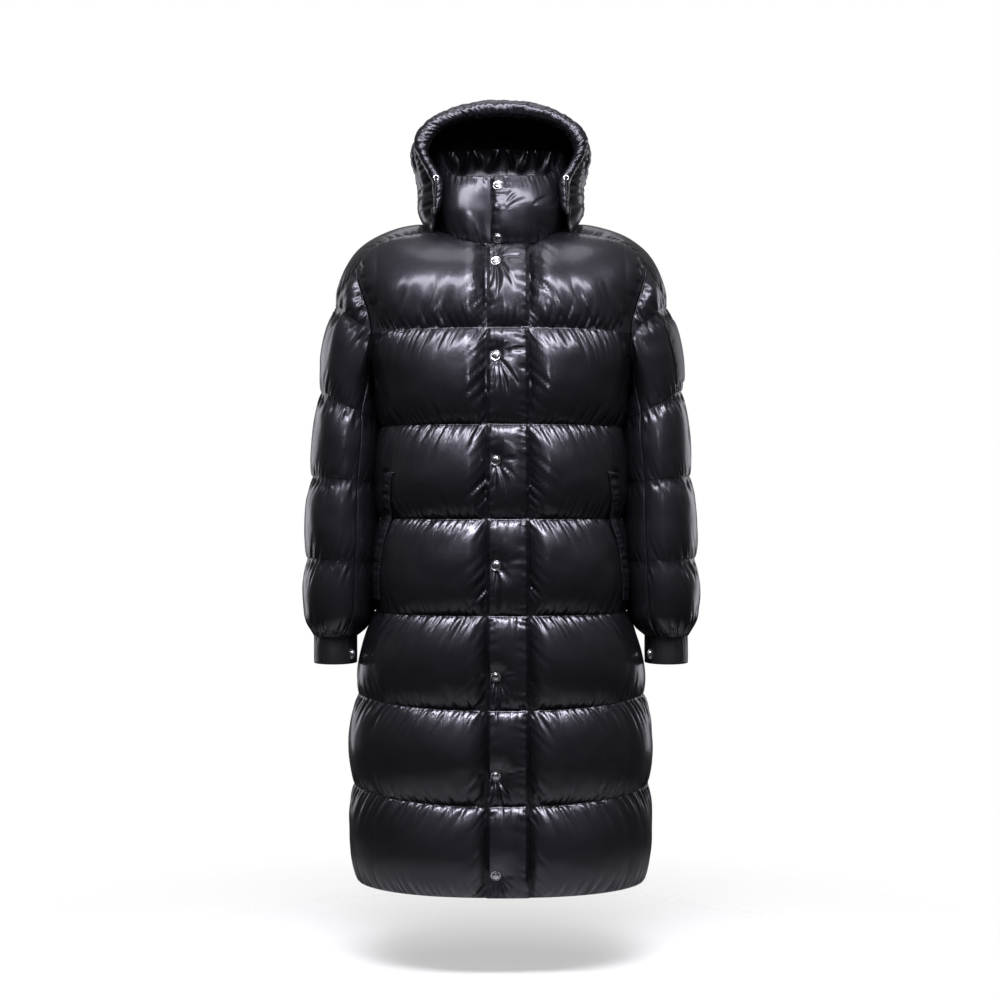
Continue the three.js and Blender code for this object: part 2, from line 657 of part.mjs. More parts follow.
function addHood() {
  const steps = 20;
  const arches = [0, 0.5, 1, 1.5, 2, 2.5, 3, 3.5, 4, 4.5, 5, 5.5, 6];
  const alongs = Array.from({ length: steps + 1 }, (_, j) => (2 * j) / steps - 1);
  const points = arches.map((arch) => alongs.map((along) => hoodPoint(arch, along)));
  const rise = (i, j) => {
    const channel = fullness(((arches[i] % 2) + 2) % 2 / 2);
    const atFoot = smooth(0, 0.18, 1 - Math.abs(alongs[j]));
    return puff.hood * lerp(0.15, 1, channel) * atFoot * (i === arches.length - 1 ? 0 : 1);
  };
  const keptRows = arches.map((_, i) => i).filter((i) => i % 2 === 0);
  const faceOut = (p) => V(p.x, p.y, p.z - lean.hood);
  add("hood", paddedWall({ points, keptRows, faceOut, rise }), shellCloth);
}

// The padded roll round the face opening, narrower down the sides
function brimSection(along) {
  const p = hoodPoint(0, along);
  const narrow = lerp(1, brim.sideShare, smooth(0.5, 0.78, Math.abs(along)));
  const halfHeight = brim.halfHeight * narrow;
  const halfDepth = brim.halfDepth * Math.min(1, narrow * 1.3);
  const inwards = V(-p.x, 0, brim.middleZ - p.z).normalize();
  const flatHalf = halfDepth * Math.cos(Math.PI / brim.sides);
  const centre = p.clone().addScaledVector(inwards, brim.inset).add(V(0, -flatHalf - brim.gap, 0));
  return { centre, halfHeight, halfDepth, outwards: inwards.negate() };
}
function addBrim() {
  const points = [];
  const faces = [];
  for (let i = 0; i <= brim.steps; i++) {
    const section = brimSection(brim.end * ((2 * i) / brim.steps - 1));
    for (let k = 0; k < brim.sides; k++) {
      const turn = ((k + 0.5) / brim.sides) * 2 * Math.PI;
      const p = section.centre.clone().addScaledVector(section.outwards, Math.cos(turn) * section.halfHeight);
      points.push(p.add(V(0, Math.sin(turn) * section.halfDepth, 0)));
    }
  }
  for (let i = 0; i < brim.steps; i++)
    for (let k = 0; k < brim.sides; k++) {
      const next = (k + 1) % brim.sides;
      const [here, ahead] = [i * brim.sides, (i + 1) * brim.sides];
      faces.push([here + k, here + next, ahead + next], [here + k, ahead + next, ahead + k]);
    }
  const last = brim.steps * brim.sides;
  for (let k = 1; k < brim.sides - 1; k++) faces.push([0, k + 1, k], [last, last + k, last + k + 1]);
  add("hood_brim", solidGeometry(points, faces), shellCloth);
}

// The storm flap lies on both fronts
function addFlap() {
  const { lines } = channelRows(0, 7);
  const keptRows = lines.map((_, i) => i);
  const xs = [flapRightEdge, flapRightEdge + 5, flapStudX + 12, flapLeftEdge - 6, flapLeftEdge];
  const points = lines.map((row) =>
    xs.map((x) => {
      const p = frontPoint({ x: Math.abs(x) }, row.line, 60);
      return V(Math.sign(x) * p.x, p.y, p.z);
    }),
  );
  const atEdge = [0.08, 0.7, 1, 0.7, 0.08];
  const rise = (i, j) => puff.flap * fullness(lines[i].t) * atEdge[j];
  const faceOut = () => V(0, -1, lean.flap);
  const onFronts = { lift: flapLift, thickness: flapWall };
  add("storm_flap", paddedWall({ points, keptRows, faceOut, rise, ...onFronts }), shellCloth);
}

// Where a line into a piece first meets its surface, and the way out there
function surfaceHit(host, from, towards) {
  const hit = new THREE.Raycaster(from, towards.clone().normalize()).intersectObject(host)[0];
  return { point: hit.point, normal: hit.face.normal };
}

// A thin piece that lies on another one, over a grid of places given as { from, towards }
function addLaid(name, host, places, thickness, material) {
  const at = (lift) =>
    places.map((row) =>
      row.map(({ from, towards }) => {
        const out = towards.clone().normalize().negate();
        return surfaceHit(host, from, towards).point.addScaledVector(out, lift);
      }),
    );
  const keptRows = places.map((_, i) => i);
  return add(name, wallGeometry(at(laidGap + thickness), at(laidGap), keptRows, false), material);
}

// A press stud: a domed cap on a rim
const studProfile = [
  [0, 0],
  [0.88, 0],
  [1, 0.12],
  [0.94, 0.26],
  [0.6, 0.42],
  [0, 0.5],
].map(([r, h]) => new THREE.Vector2(r, h));
function addStud(name, host, from, towards, radius = studRadius) {
  const { point, normal } = surfaceHit(host, from, towards);
  const geometry = new THREE.LatheGeometry(studProfile.map((p) => p.clone().multiplyScalar(radius)), 12);
  geometry.rotateX(Math.PI / 2);
  const stud = add(name, geometry, studMetal);
  stud.quaternion.setFromUnitVectors(V(0, 0, 1), normal);
  stud.position.copy(point).addScaledVector(normal, studGap);
}

// The welt along each slanted side pocket's opening
function addPocketWelt(name, host, side) {
  const steps = 16;
  const places = Array.from({ length: steps + 1 }, (_, i) => {
    const t = i / steps;
    const line = lerp(pocket.topLine, pocket.bottomLine, t);
    return [0, 0.5, 1].map((s) => {
      const x = lerp(pocket.topX, pocket.bottomX, Math.pow(t, 0.8)) - pocket.weltWidth * s;
      const p = frontPoint({ x }, line, flapLeftEdge + 30);
      const out = V(p.x * 0.9, p.y * 1.1, 0).normalize();
      const from = p.clone().addScaledVector(out, 80);
      return { from: V(side * from.x, from.y, from.z), towards: V(-side * out.x, -out.y, 0) };
    });
  });
  addLaid(name, host, places, weltThickness, shellCloth);
}

// The plain patch on the upper sleeve
function addSleevePatch(name, host) {
  const places = patch.lines.map((line) =>
    patch.turns.map((patchTurn) => {
      const turn = (patchTurn + 360) % 360;
      const p = sleevePoint(turn, line);
      const out = V(Math.cos(radians(turn)), -Math.sin(radians(turn)), 0);
      return { from: p.addScaledVector(out, 60), towards: out.clone().negate() };
    }),
  );
  addLaid(name, host, places, patch.thickness, trimCloth);
}

// The hood's drawcord leaves the brim's casing at an eyelet and ends in a stopper, on each side
function addDrawcord(side, sideName, host) {
  const { point, normal } = surfaceHit(host, V(side * eyelet.x, -300, eyelet.z), V(0, 1, 0));
  const rim = [
    [0.5, 0],
    [1, 0],
    [1, 0.3],
    [0.5, 0.3],
    [0.5, 0],
  ].map(([r, h]) => new THREE.Vector2(r * eyelet.radius, h * eyelet.radius));
  const ring = new THREE.LatheGeometry(rim, 12);
  ring.rotateX(Math.PI / 2);
  const eyeletMesh = add("eyelet_" + sideName, ring, studMetal);
  eyeletMesh.quaternion.setFromUnitVectors(V(0, 0, 1), normal);
  eyeletMesh.position.copy(point).addScaledVector(normal, studGap);

  const route = cordRoute.map((p) => V(side * p.x, p.y, p.z));
  const section = new THREE.Shape().absarc(0, 0, cordRadius, 0, 2 * Math.PI);
  const extrudePath = new THREE.CatmullRomCurve3(route);
  const tube = new THREE.ExtrudeGeometry(section, { extrudePath, steps: 10, curveSegments: 4 });
  add("drawcord_" + sideName, tube, cordCloth);

  const end = route[route.length - 1];
  const body = new THREE.CylinderGeometry(stopper.radius, stopper.radius, stopper.length, 12);
  body.rotateX(Math.PI / 2);
  const stopperMesh = add("cord_stopper_" + sideName, body, trimCloth);
  stopperMesh.position.set(end.x, end.y, end.z - seamGap - stopper.length / 2);
}

addFront("front_right", false);
addFront("front_left", true);
addBack();
addYoke("yoke_right", false);
addYoke("yoke_left", true);
for (const isLeft of [false, true]) {
  const side = isLeft ? "left" : "right";
  addSleeve("sleeve_" + side + "_upper", isLeft, upperSleeveTurns);
  addSleeve("sleeve_" + side + "_under", isLeft, underSleeveTurns);
  addCuff("cuff_" + side, isLeft);
}
addCollar();
addHood();
addBrim();
addFlap();

const piece = (name) => coat.getObjectByName(name);
coat.updateMatrixWorld(true);
addPocketWelt("pocket_welt_right", piece("front_right"), -1);
addPocketWelt("pocket_welt_left", piece("front_left"), 1);
addSleevePatch("sleeve_patch", piece("sleeve_left_upper"));
addDrawcord(-1, "right", piece("hood_brim"));
addDrawcord(1, "left", piece("hood_brim"));
flapStuds.forEach((z, i) => {
  addStud("stud_flap_" + (i + 1), piece("storm_flap"), V(flapStudX, -400, z), V(0, 1, 0));
});
addStud("stud_collar_top", piece("collar"), V(collarStuds.x, -400, collarStuds.top), V(0, 1, 0));
addStud("stud_collar_base", piece("collar"), V(collarStuds.x, -400, collarStuds.base), V(0, 1, 0));
addStud("stud_cuff_right", piece("cuff_right"), V(-cuffStud.x, -400, cuffStud.z), V(0, 1, 0));
addStud("stud_cuff_left", piece("cuff_left"), V(cuffStud.x, -400, cuffStud.z), V(0, 1, 0));

export default coat;
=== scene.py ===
import math
from itertools import product

import bmesh
import bpy
import numpy as np
from mathutils import Matrix, Vector


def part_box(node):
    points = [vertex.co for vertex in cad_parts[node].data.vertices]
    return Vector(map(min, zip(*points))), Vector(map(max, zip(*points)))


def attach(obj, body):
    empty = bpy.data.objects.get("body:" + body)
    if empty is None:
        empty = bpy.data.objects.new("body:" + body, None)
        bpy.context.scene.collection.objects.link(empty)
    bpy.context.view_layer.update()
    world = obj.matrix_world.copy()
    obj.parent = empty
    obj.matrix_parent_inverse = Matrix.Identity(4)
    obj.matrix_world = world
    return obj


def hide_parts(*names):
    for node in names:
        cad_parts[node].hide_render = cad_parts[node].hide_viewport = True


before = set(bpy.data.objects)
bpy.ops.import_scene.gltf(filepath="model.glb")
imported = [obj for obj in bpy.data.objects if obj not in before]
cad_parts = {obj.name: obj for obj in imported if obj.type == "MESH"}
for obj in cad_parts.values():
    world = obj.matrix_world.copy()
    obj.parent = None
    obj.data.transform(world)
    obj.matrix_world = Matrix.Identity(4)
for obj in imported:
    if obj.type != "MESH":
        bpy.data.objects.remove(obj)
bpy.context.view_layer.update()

mm = 0.001

# X points to the wearer's left, Y to the wearer's back and Z up.
# The stage is in metres. The coat's tables are in millimetres, the same as in part.mjs.
camera = {"place": (-0.0016, -3.0, -0.424), "lens": 67.5, "sensor": 36}
floor = {"z": -1.16, "radius": 3.4, "fadeFrom": 0.1425, "fadeTo": 0.95, "shown": 0.55}
lightTint = (0.93, 0.92, 1.0)
# name, place, aim, size, watts, spread in degrees
lights = [
    ("key", (0, -1.05, 0.78), (0, -0.1, -0.55), (2.5, 0.36), 38, 180),
    ("key_low", (0, -1.05, 0.7), (0, -0.1, -0.98), (2.3, 0.4), 4, 40),
    ("overhead", (0, -0.35, 1.8), (0, 0, -0.4), (1.6, 1.0), 12, 180),
    ("front_high", (-0.3, -2.4, 1.1), (0, 0, 0), (1.2, 0.6), 7, 180),
    ("face", (0.2, -2.6, 0.35), (0, 0, 0.13), (0.7, 0.5), 0.5, 24),
    ("side_right", (-2, 1.9, -0.2), (0, 0, -0.45), (1.2, 2.0), 9, 180),
    ("side_left", (2, 1.9, -0.2), (0, 0, -0.45), (1.2, 2.0), 9, 180),
    ("behind", (0, 1.6, 2.0), (0, 0, -0.3), (2.2, 1.2), 8, 180),
]


def deselect():
    for item in bpy.context.selected_objects:
        item.select_set(False)


def addObject(name, data):
    item = bpy.data.objects.new(name, data)
    bpy.context.collection.objects.link(item)
    return item


def placeStage():
    data = bpy.data.cameras.new("camera")
    data.lens = camera["lens"]
    data.sensor_width = camera["sensor"]
    item = addObject("camera", data)
    item.location = camera["place"]
    item.rotation_euler = (math.radians(90), 0, 0)  # level, looking along Y
    bpy.context.scene.camera = item
    bpy.context.scene.view_settings.view_transform = "Standard"
    for name, place, aim, size, watts, cone in lights:
        data = bpy.data.lights.new(name, "AREA")
        data.shape = "ELLIPSE"
        data.size, data.size_y = size
        data.energy = watts
        data.spread = math.radians(cone)
        data.color = lightTint
        item = addObject(name, data)
        item.location = place
        item.rotation_euler = (Vector(place) - Vector(aim)).to_track_quat("Z", "Y").to_euler()
    deselect()
    bpy.ops.mesh.primitive_circle_add(
        vertices=96, radius=floor["radius"], fill_type="NGON", location=(0, 0, floor["z"])
    )
    ground = bpy.context.object
    ground.name = "floor"
    return ground


ground = placeStage()
print("camera, lights and floor are in place")


# Shader maths on a socket
class Field:
    def __init__(self, shader, socket):
        self.shader = shader
        self.socket = socket

    def math(self, kind, *others):
        values = dict(enumerate((self,) + others))
        return self.shader.node("ShaderNodeMath", {"operation": kind}, values)

    def __add__(self, other):
        return self.math("ADD", other)

    def __mul__(self, other):
        return self.math("MULTIPLY", other)

    __radd__ = __add__
    __rmul__ = __mul__


class Shader:
    def __init__(self, name, owner=None, **uniform):
        self.owner = owner or bpy.data.materials.new(name)
        self.owner.use_nodes = True
        self.tree = self.owner.node_tree
        self.surface = self.tree.nodes.get("Principled BSDF")
        for key, value in uniform.items():
            self.surface.inputs[key.replace("_", " ")].default_value = value

    def node(self, kind, settings=None, inputs=None, output=0):
        made = self.tree.nodes.new(kind)
        for key, value in (settings or {}).items():
            setattr(made, key, value)
        for key, value in (inputs or {}).items():
            self.feed(made.inputs[key], value)
        return Field(self, made.outputs[output])

    def feed(self, socket, value):
        if isinstance(value, Field):
            self.tree.links.new(value.socket, socket)
        else:
            socket.default_value = value

    def fit(self, field, low, high, toLow=0.0, toHigh=1.0):
        limits = {"From Min": low, "From Max": high, "To Min": toLow, "To Max": toHigh}
        return self.node("ShaderNodeMapRange", {"clamp": True}, {"Value": field, **limits})

    def noise(self, where, scale, detail=2.0, roughness=0.5):
        values = {"Vector": where, "Scale": scale, "Detail": detail, "Roughness": roughness}
        return self.node("ShaderNodeTexNoise", {}, values)

    def mix(self, share, a, b):
        return self.node("ShaderNodeMix", {"data_type": "RGBA"}, {"Factor": share, 6: a, 7: b}, 2)

    def bump(self, height, strength, distance):
        values = {"Height": height, "Strength": strength, "Distance": distance}
        normal = self.node("ShaderNodeBump", {}, values)
        self.feed(self.surface.inputs["Normal"], normal)


# mm to one unit of the seam map, which holds the distances along a stitched line and away from it
seamUnit = 100
clothLook = {
    "tint": (0.87, 0.85, 1.0, 1), "coatRoughness": 0.15, "foldScale": 26.0, "foldStretch": 0.13,
    "foldFade": (0.34, 0.12),  # how far folds reach from a stitched line, and what is left of them there
    "softScale": 34.0, "soft": 0.35, "weaveScale": 900.0,
    "stitchTurn": 160.0,  # radians to one unit of the seam map
    "stitchEdge": (0.008, 0.013), "stitch": 0.05, "strength": 0.85, "depth": 0.0022, "wearScale": 9.0,
    "wear": (-0.04, 0.06),
}


def clothMaterial(name, color, roughness, coat, gatherBump, weaveBump):
    look = clothLook
    cloth = Shader(
        name,
        Base_Color=(*color, 1),
        Roughness=roughness,
        Specular_Tint=look["tint"],
        Coat_Weight=coat,
        Coat_Roughness=look["coatRoughness"],
    )
    where = cloth.node("ShaderNodeTexCoord", output=3)
    seamMap = cloth.node("ShaderNodeUVMap", {"uv_map": "seam"})
    along = cloth.node("ShaderNodeSeparateXYZ", inputs={0: seamMap}, output=0)
    away = cloth.node("ShaderNodeSeparateXYZ", inputs={0: seamMap}, output=1)
    stretched = cloth.node("ShaderNodeCombineXYZ", inputs={0: along, 1: away * look["foldStretch"], 2: 0.0})
    foldReach, foldLeft = look["foldFade"]
    folds = cloth.noise(stretched, look["foldScale"], 3.0, 0.6)
    folds = folds * cloth.fit(away, 0.0, foldReach, 1.0, foldLeft)
    soft = cloth.noise(where, look["softScale"], 3.0, 0.55)
    weave = cloth.noise(where, look["weaveScale"], 1.0)
    stitch = cloth.fit((along * look["stitchTurn"]).math("SINE"), 0.1, 0.5)
    stitch = stitch * cloth.fit(away, *look["stitchEdge"], 1.0, 0.0)
    height = folds * gatherBump + soft * look["soft"] + weave * weaveBump + stitch * look["stitch"]
    cloth.bump(height, look["strength"], look["depth"])
    lessRough, moreRough = (roughness + change for change in look["wear"])
    worn = cloth.fit(cloth.noise(where, look["wearScale"]), 0.3, 0.7, lessRough, moreRough)
    cloth.feed(cloth.surface.inputs["Roughness"], worn)
    return cloth.owner


# Metal and plastic with a fine grain
def hardMaterial(name, grainScale, strength, depth, **uniform):
    hard = Shader(name, **uniform)
    where = hard.node("ShaderNodeTexCoord", output=3)
    hard.bump(hard.noise(where, grainScale), strength, depth)
    return hard.owner


def cordMaterial():
    cord = Shader("cord_cloth", Base_Color=(0.008, 0.008, 0.009, 1), Roughness=0.6)
    where = cord.node("ShaderNodeTexCoord", output=3)
    braid = {"Vector": where, "Scale": 260.0, "Distortion": 1.5}
    cord.bump(cord.node("ShaderNodeTexWave", {"bands_direction": "DIAGONAL"}, braid), 0.6, 0.0006)
    return cord.owner


# It shows only near the coat, and lets the pale world through farther out
def floorMaterial():
    pale = Shader("floor_pale", Base_Color=(0.9, 0.9, 0.9, 1), Roughness=0.9)
    where = pale.node("ShaderNodeTexCoord", output=3)
    reach = pale.node("ShaderNodeVectorMath", {"operation": "LENGTH"}, {0: where}, 1)
    shown = pale.fit(reach, floor["fadeFrom"], floor["fadeTo"], floor["shown"], 0.0)
    pale.feed(pale.surface.inputs["Alpha"], shown)
    return pale.owner


glow = {"heights": (-0.1, 0.9), "levels": (0.035, 0.3)}  # the world's light on the coat, brighter from above


def lightWorld():
    world = bpy.data.worlds.new("studio")
    bpy.context.scene.world = world
    room = Shader("studio", owner=world)
    back = room.tree.nodes["Background"]
    seen = room.node("ShaderNodeLightPath")
    direction = room.node("ShaderNodeTexCoord", output=0)
    up = room.node("ShaderNodeSeparateXYZ", inputs={0: direction}, output=2)
    level = room.fit(up, *glow["heights"], *glow["levels"])
    gray = room.node("ShaderNodeCombineXYZ", inputs={0: level, 1: level, 2: level})
    room.feed(back.inputs["Color"], room.mix(seen, gray, (1, 1, 1, 1)))
    back.inputs["Strength"].default_value = 1.0


shellCloth = clothMaterial("shell_nylon", (0.0058, 0.0056, 0.0075), 0.32, 0.36, 0.8, 0.015)
trimCloth = clothMaterial("trim_cloth", (0.010, 0.010, 0.011), 0.42, 0.0, 0.25, 0.05)
studMetal = hardMaterial(
    "stud_metal", 700.0, 0.12, 0.0004, Base_Color=(0.5, 0.51, 0.53, 1), Metallic=1.0, Roughness=0.22
)
cordCloth = cordMaterial()
stopperPlastic = hardMaterial(
    "stopper_plastic", 1200.0, 0.2, 0.0003, Base_Color=(0.012, 0.012, 0.013, 1), Roughness=0.32
)
ground.data.materials.append(floorMaterial())
lightWorld()
print("materials are made")


def finishPiece(item, material, slot, *nodes):
    item.data.materials.clear()
    item.data.materials.append(material)
    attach(item, "root")
    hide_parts(*nodes)
    return item


def lerp(a, b, t):
    return a + (b - a) * t


def smooth(low, high, at):
    t = np.clip((at - low) / (high - low), 0, 1)
    return t * t * (3 - 2 * t)


# From 0 at a stitched edge to 1 at reach from it, steep first
def swell(d, reach):
    return 1 - (1 - np.clip(d / reach, 0, 1)) ** 2.2


# The down's share beside a sewn edge: share at the edge itself and 1 at reach from it
def sewnRamp(d, share, reach):
    return lerp(share, 1, swell(d, reach))


def hermite(a, b, slopeA, slopeB, t):
    return (
        a * (2 * t**3 - 3 * t**2 + 1)
        + slopeA * (t**3 - 2 * t**2 + t)
        + b * (3 * t**2 - 2 * t**3)
        + slopeB * (t**3 - t**2)
    )


# A table's row at any place on a smooth curve through its rows, its first column being the place
def rowAt(rows, at):
    rows = np.asarray(rows, float)
    at = np.asarray(at, float)
    keys = rows[:, 0]
    i = np.searchsorted(keys[1:-1], at, side="left")
    before, after = np.maximum(i - 1, 0), np.minimum(i + 2, len(rows) - 1)
    span = (keys[i + 1] - keys[i])[..., None]
    t = np.clip((at[..., None] - keys[i][..., None]) / span, 0, 1)
    slopeA = (rows[i + 1] - rows[before]) / (keys[i + 1] - keys[before])[..., None] * span
    slopeB = (rows[after] - rows[i]) / (keys[after] - keys[i])[..., None] * span
    return hermite(rows[i], rows[i + 1], slopeA, slopeB, t)


def vec(x, y, z):
    return np.stack(np.broadcast_arrays(x, y, z), -1).astype(float)


def unit(v):
    return v / (np.linalg.norm(v, axis=-1, keepdims=True) + 1e-12)


def curveBetween(a, b, leaving, arriving, t):
    reach = np.linalg.norm(b - a, axis=-1, keepdims=True)
    return hermite(a, b, np.asarray(leaving) * reach, np.asarray(arriving) * reach, t[..., None])


# Height of the down across one channel: 0 at its stitched lines, 1 where it is fullest, just under the middle
channelShape = {"lean": 0.92, "fullestAt": 0.47, "below": 0.62}


def fullness(t, above=0.5):
    power = np.where(t > channelShape["fullestAt"], above, channelShape["below"])
    return np.sin(np.pi * np.clip(t, 0, 1) ** channelShape["lean"]).clip(0) ** power


# Smooth lumps up to rise high or deep and about size apart, from a mixed number for each corner of a cell
def lumps(p, rise, size, seed=0):
    q = p / size + 31.7 * seed
    cell = np.floor(q).astype(np.int64)
    f = q - cell
    f = f * f * (3 - 2 * f)
    total = 0
    for corner in product((0, 1), repeat=3):
        c = cell + corner
        mixed = (c[..., 0] * 73856093) ^ (c[..., 1] * 19349663) ^ (c[..., 2] * 83492791)
        mixed = ((mixed ^ (mixed >> 13)) * 1274126177) & 0xFFFFFF
        total = total + (mixed / 0x7FFFFF - 1) * np.prod(np.where(corner, f, 1 - f), -1)
    return rise * total


# Valleys between the gathers beside a stitched line: fine ones that run into wider and longer ones
foldScales = [
    {"spacing": 8.8, "depth": 4.4, "length": 22},
    {"spacing": 15.5, "depth": 3.8, "length": 31},
    {"spacing": 41, "depth": 1.3, "length": 55},
]
foldRun = {"whole": 26000, "start": 1300, "toNextRow": 677.3, "rows": 34, "straightAt": 220}
chance = np.random.default_rng(7)
for scale in foldScales:
    count = int(foldRun["whole"] / scale["spacing"])
    scale["places"] = np.cumsum(scale["spacing"] * chance.uniform(0.5, 1.6, count))
    scale["size"] = chance.uniform(0.25, 1.0, count)
    scale["reach"] = chance.uniform(0.55, 1.5, count)


# u runs along the line and d away from it. row keeps one line's gathers unlike another's.
def gathers(u, d, row, slant=0.0, strength=1.0, reach=1.0):
    at = foldRun["start"] + foldRun["toNextRow"] * (np.asarray(row) % foldRun["rows"])
    at = u + slant * d * (1 - d / foldRun["straightAt"]) + at
    total = 0
    for scale in foldScales:
        k = np.clip(np.searchsorted(scale["places"], at), 1, len(scale["places"]) - 1)
        low, high = scale["places"][k - 1], scale["places"][k]
        phase = np.clip((at - low) / (high - low), 0, 1)
        k = np.where(phase < 0.5, k - 1, k)
        away = d / (scale["length"] * reach * scale["reach"][k])
        valley = (1 - np.sin(np.pi * phase)) * np.exp(-(away**2.5))
        total = total + scale["depth"] * scale["size"][k] * valley
    return strength * total * smooth(-0.5, 3.5, d)


creaseShape = {"bend": 0.06, "narrowEnd": 0.55, "widening": 0.9}


# Single creases, each from one point to another: (fromA, fromB, toA, toB, depth, width)
def creases(a, b, rows):
    total = 0
    for a0, b0, a1, b1, depth, width in rows:
        length = math.hypot(a1 - a0, b1 - b0)
        da, db = (a1 - a0) / length, (b1 - b0) / length
        along = ((a - a0) * da + (b - b0) * db) / length
        onto = np.clip(along, 0, 1)
        aside = (a - a0) * -db + (b - b0) * da - creaseShape["bend"] * length * np.sin(onto * math.pi)
        wide = width * (creaseShape["narrowEnd"] + creaseShape["widening"] * onto)
        shown = smooth(-0.08, 0.12, along) * (1 - smooth(0.45, 1.0, along))
        total = total + depth * shown * np.exp(-np.abs(aside / wide) ** 1.6)
    return total


# How far an angle lies from another one, round a closed loop
def turnFrom(middle, angle, whole=360):
    return np.abs((angle - middle + whole / 2) % whole - whole / 2)


# Distance along a grid's rows or columns, or along a path, from its first point
def runAlong(p, axis=0):
    return np.insert(np.linalg.norm(np.diff(p, axis=axis), axis=-1).cumsum(axis), 0, 0, axis)


def lifted(p, n, height):
    return p + n * height[..., None]


# The seam map's values: how far along a stitched line and from the nearer one
def seamAt(u, fromOne, fromOther):
    return np.stack(np.broadcast_arrays(u, np.minimum(fromOne, fromOther)), -1)


def blur(grid, times):
    for _ in range(times):
        for axis in (0, 1):
            ends = np.concatenate([grid.take([0], axis), grid, grid.take([-1], axis)], axis)
            count = grid.shape[axis]
            grid = (ends.take(range(count), axis) + 2 * grid + ends.take(range(2, count + 2), axis)) / 4
    return grid


# A grid's points averaged with those some columns away
def spread(grid, reach):
    columns = np.arange(grid.shape[1])
    shifts = range(-reach, reach + 1, 2)
    return sum(grid[:, np.clip(columns + k, 0, columns[-1])] for k in shifts) / len(shifts)


# Takes out the ridges that the neck's corners leave in a body panel's top channel
calmLines = {"start": (6.05, 6.35), "end": (6.78, 7), "besideEdge": 60}


def calmTop(p, lines, reach):
    fromEdge = np.abs(p[:, -1:, 0]) - np.abs(p[..., 0])
    inTop = smooth(*calmLines["start"], lines) * (1 - smooth(*calmLines["end"], lines))
    share = inTop[:, None] * smooth(0, calmLines["besideEdge"], fromEdge)
    return lerp(p, spread(spread(p, reach), reach), share[..., None])


def gridNormals(p, faceOut, times=2):
    n = unit(np.cross(np.gradient(p, axis=1), np.gradient(p, axis=0)))
    n = n * np.where((n * faceOut).sum(-1, keepdims=True) < 0, -1, 1)
    return unit(blur(n, times))


# Rows across a run of channels, closer together beside the stitched lines
def channelRows(first, last, count, evenness=0.42):
    s = np.linspace(0, 1, count + 1)
    t = lerp(s * s * (3 - 2 * s), s, evenness)[:-1]
    return np.concatenate([channel + t for channel in range(first, last)] + [[last]])


# How far each grid point lies from the stitched lines at its channel's start and end
def lineDistances(p, lines, width=1):
    last = int(round(lines[-1] / width))
    run = runAlong(p)
    channel = np.minimum(np.floor(lines / width + 1e-9), last - 1).astype(int)
    start = np.searchsorted(lines, channel * width - 1e-9)
    end = np.minimum(np.searchsorted(lines, (channel + 1) * width - 1e-9), len(lines) - 1)
    t = (lines - channel * width) / width
    return channel[:, None], t[:, None], run - run[start], run[end] - run


def joinLoops(fine, coarse, picks):
    faces = []
    count = len(fine)
    for m, corner in enumerate(coarse):
        following = coarse[(m + 1) % len(coarse)]
        first, last = picks[m], picks[(m + 1) % len(coarse)]
        last += count if last <= first else 0
        middle = (first + last) // 2
        faces += [(fine[(k + 1) % count], fine[k % count], corner) for k in range(first, middle)]
        faces.append((fine[middle % count], corner, following))
        faces += [(fine[(k + 1) % count], fine[k % count], following) for k in range(middle, last)]
    return faces


def edgeLoop(rows, columns):
    bottom = [(0, j) for j in range(columns - 1)]
    right = [(i, columns - 1) for i in range(rows - 1)]
    top = [(rows - 1, j) for j in range(columns - 1, 0, -1)]
    left = [(i, 0) for i in range(rows - 1, 0, -1)]
    return bottom + right + top + left


def kept(count, step):
    picks = list(range(0, count - 1, step))
    if count - 1 - picks[-1] < step / 2 and len(picks) > 1:
        picks.pop()
    return picks + [count - 1]


def gridQuads(rows, columns, first, closed=False, inward=False):
    i, j = np.meshgrid(np.arange(rows - 1), np.arange(columns if closed else columns - 1), indexing="ij")
    following = (j + 1) % columns
    quads = [i * columns + j, i * columns + following, (i + 1) * columns + following, (i + 1) * columns + j]
    quads = np.stack(quads, -1).reshape(-1, 4) + first
    return (quads[:, ::-1] if inward else quads).tolist()


def makeMesh(name, points, faces, seamValues=None):
    mesh = bpy.data.meshes.new(name)
    mesh.from_pydata((np.asarray(points) * mm).tolist(), [], faces)
    mesh.calc_loop_triangles()
    corners = np.empty(len(mesh.loop_triangles) * 3, np.int32)
    mesh.loop_triangles.foreach_get("vertices", corners)
    a, b, c = np.asarray(points)[corners.reshape(-1, 3)].transpose(1, 0, 2)
    if (a * np.cross(b, c)).sum() < 0:
        mesh.flip_normals()
    if seamValues is not None:
        used = np.empty(len(mesh.loops), np.int32)
        mesh.loops.foreach_get("vertex_index", used)
        layer = mesh.uv_layers.new(name="seam")
        layer.data.foreach_set("uv", (seamValues[used] / seamUnit).astype(np.float32).ravel())
    mesh.shade_smooth()
    return addObject(name, mesh)


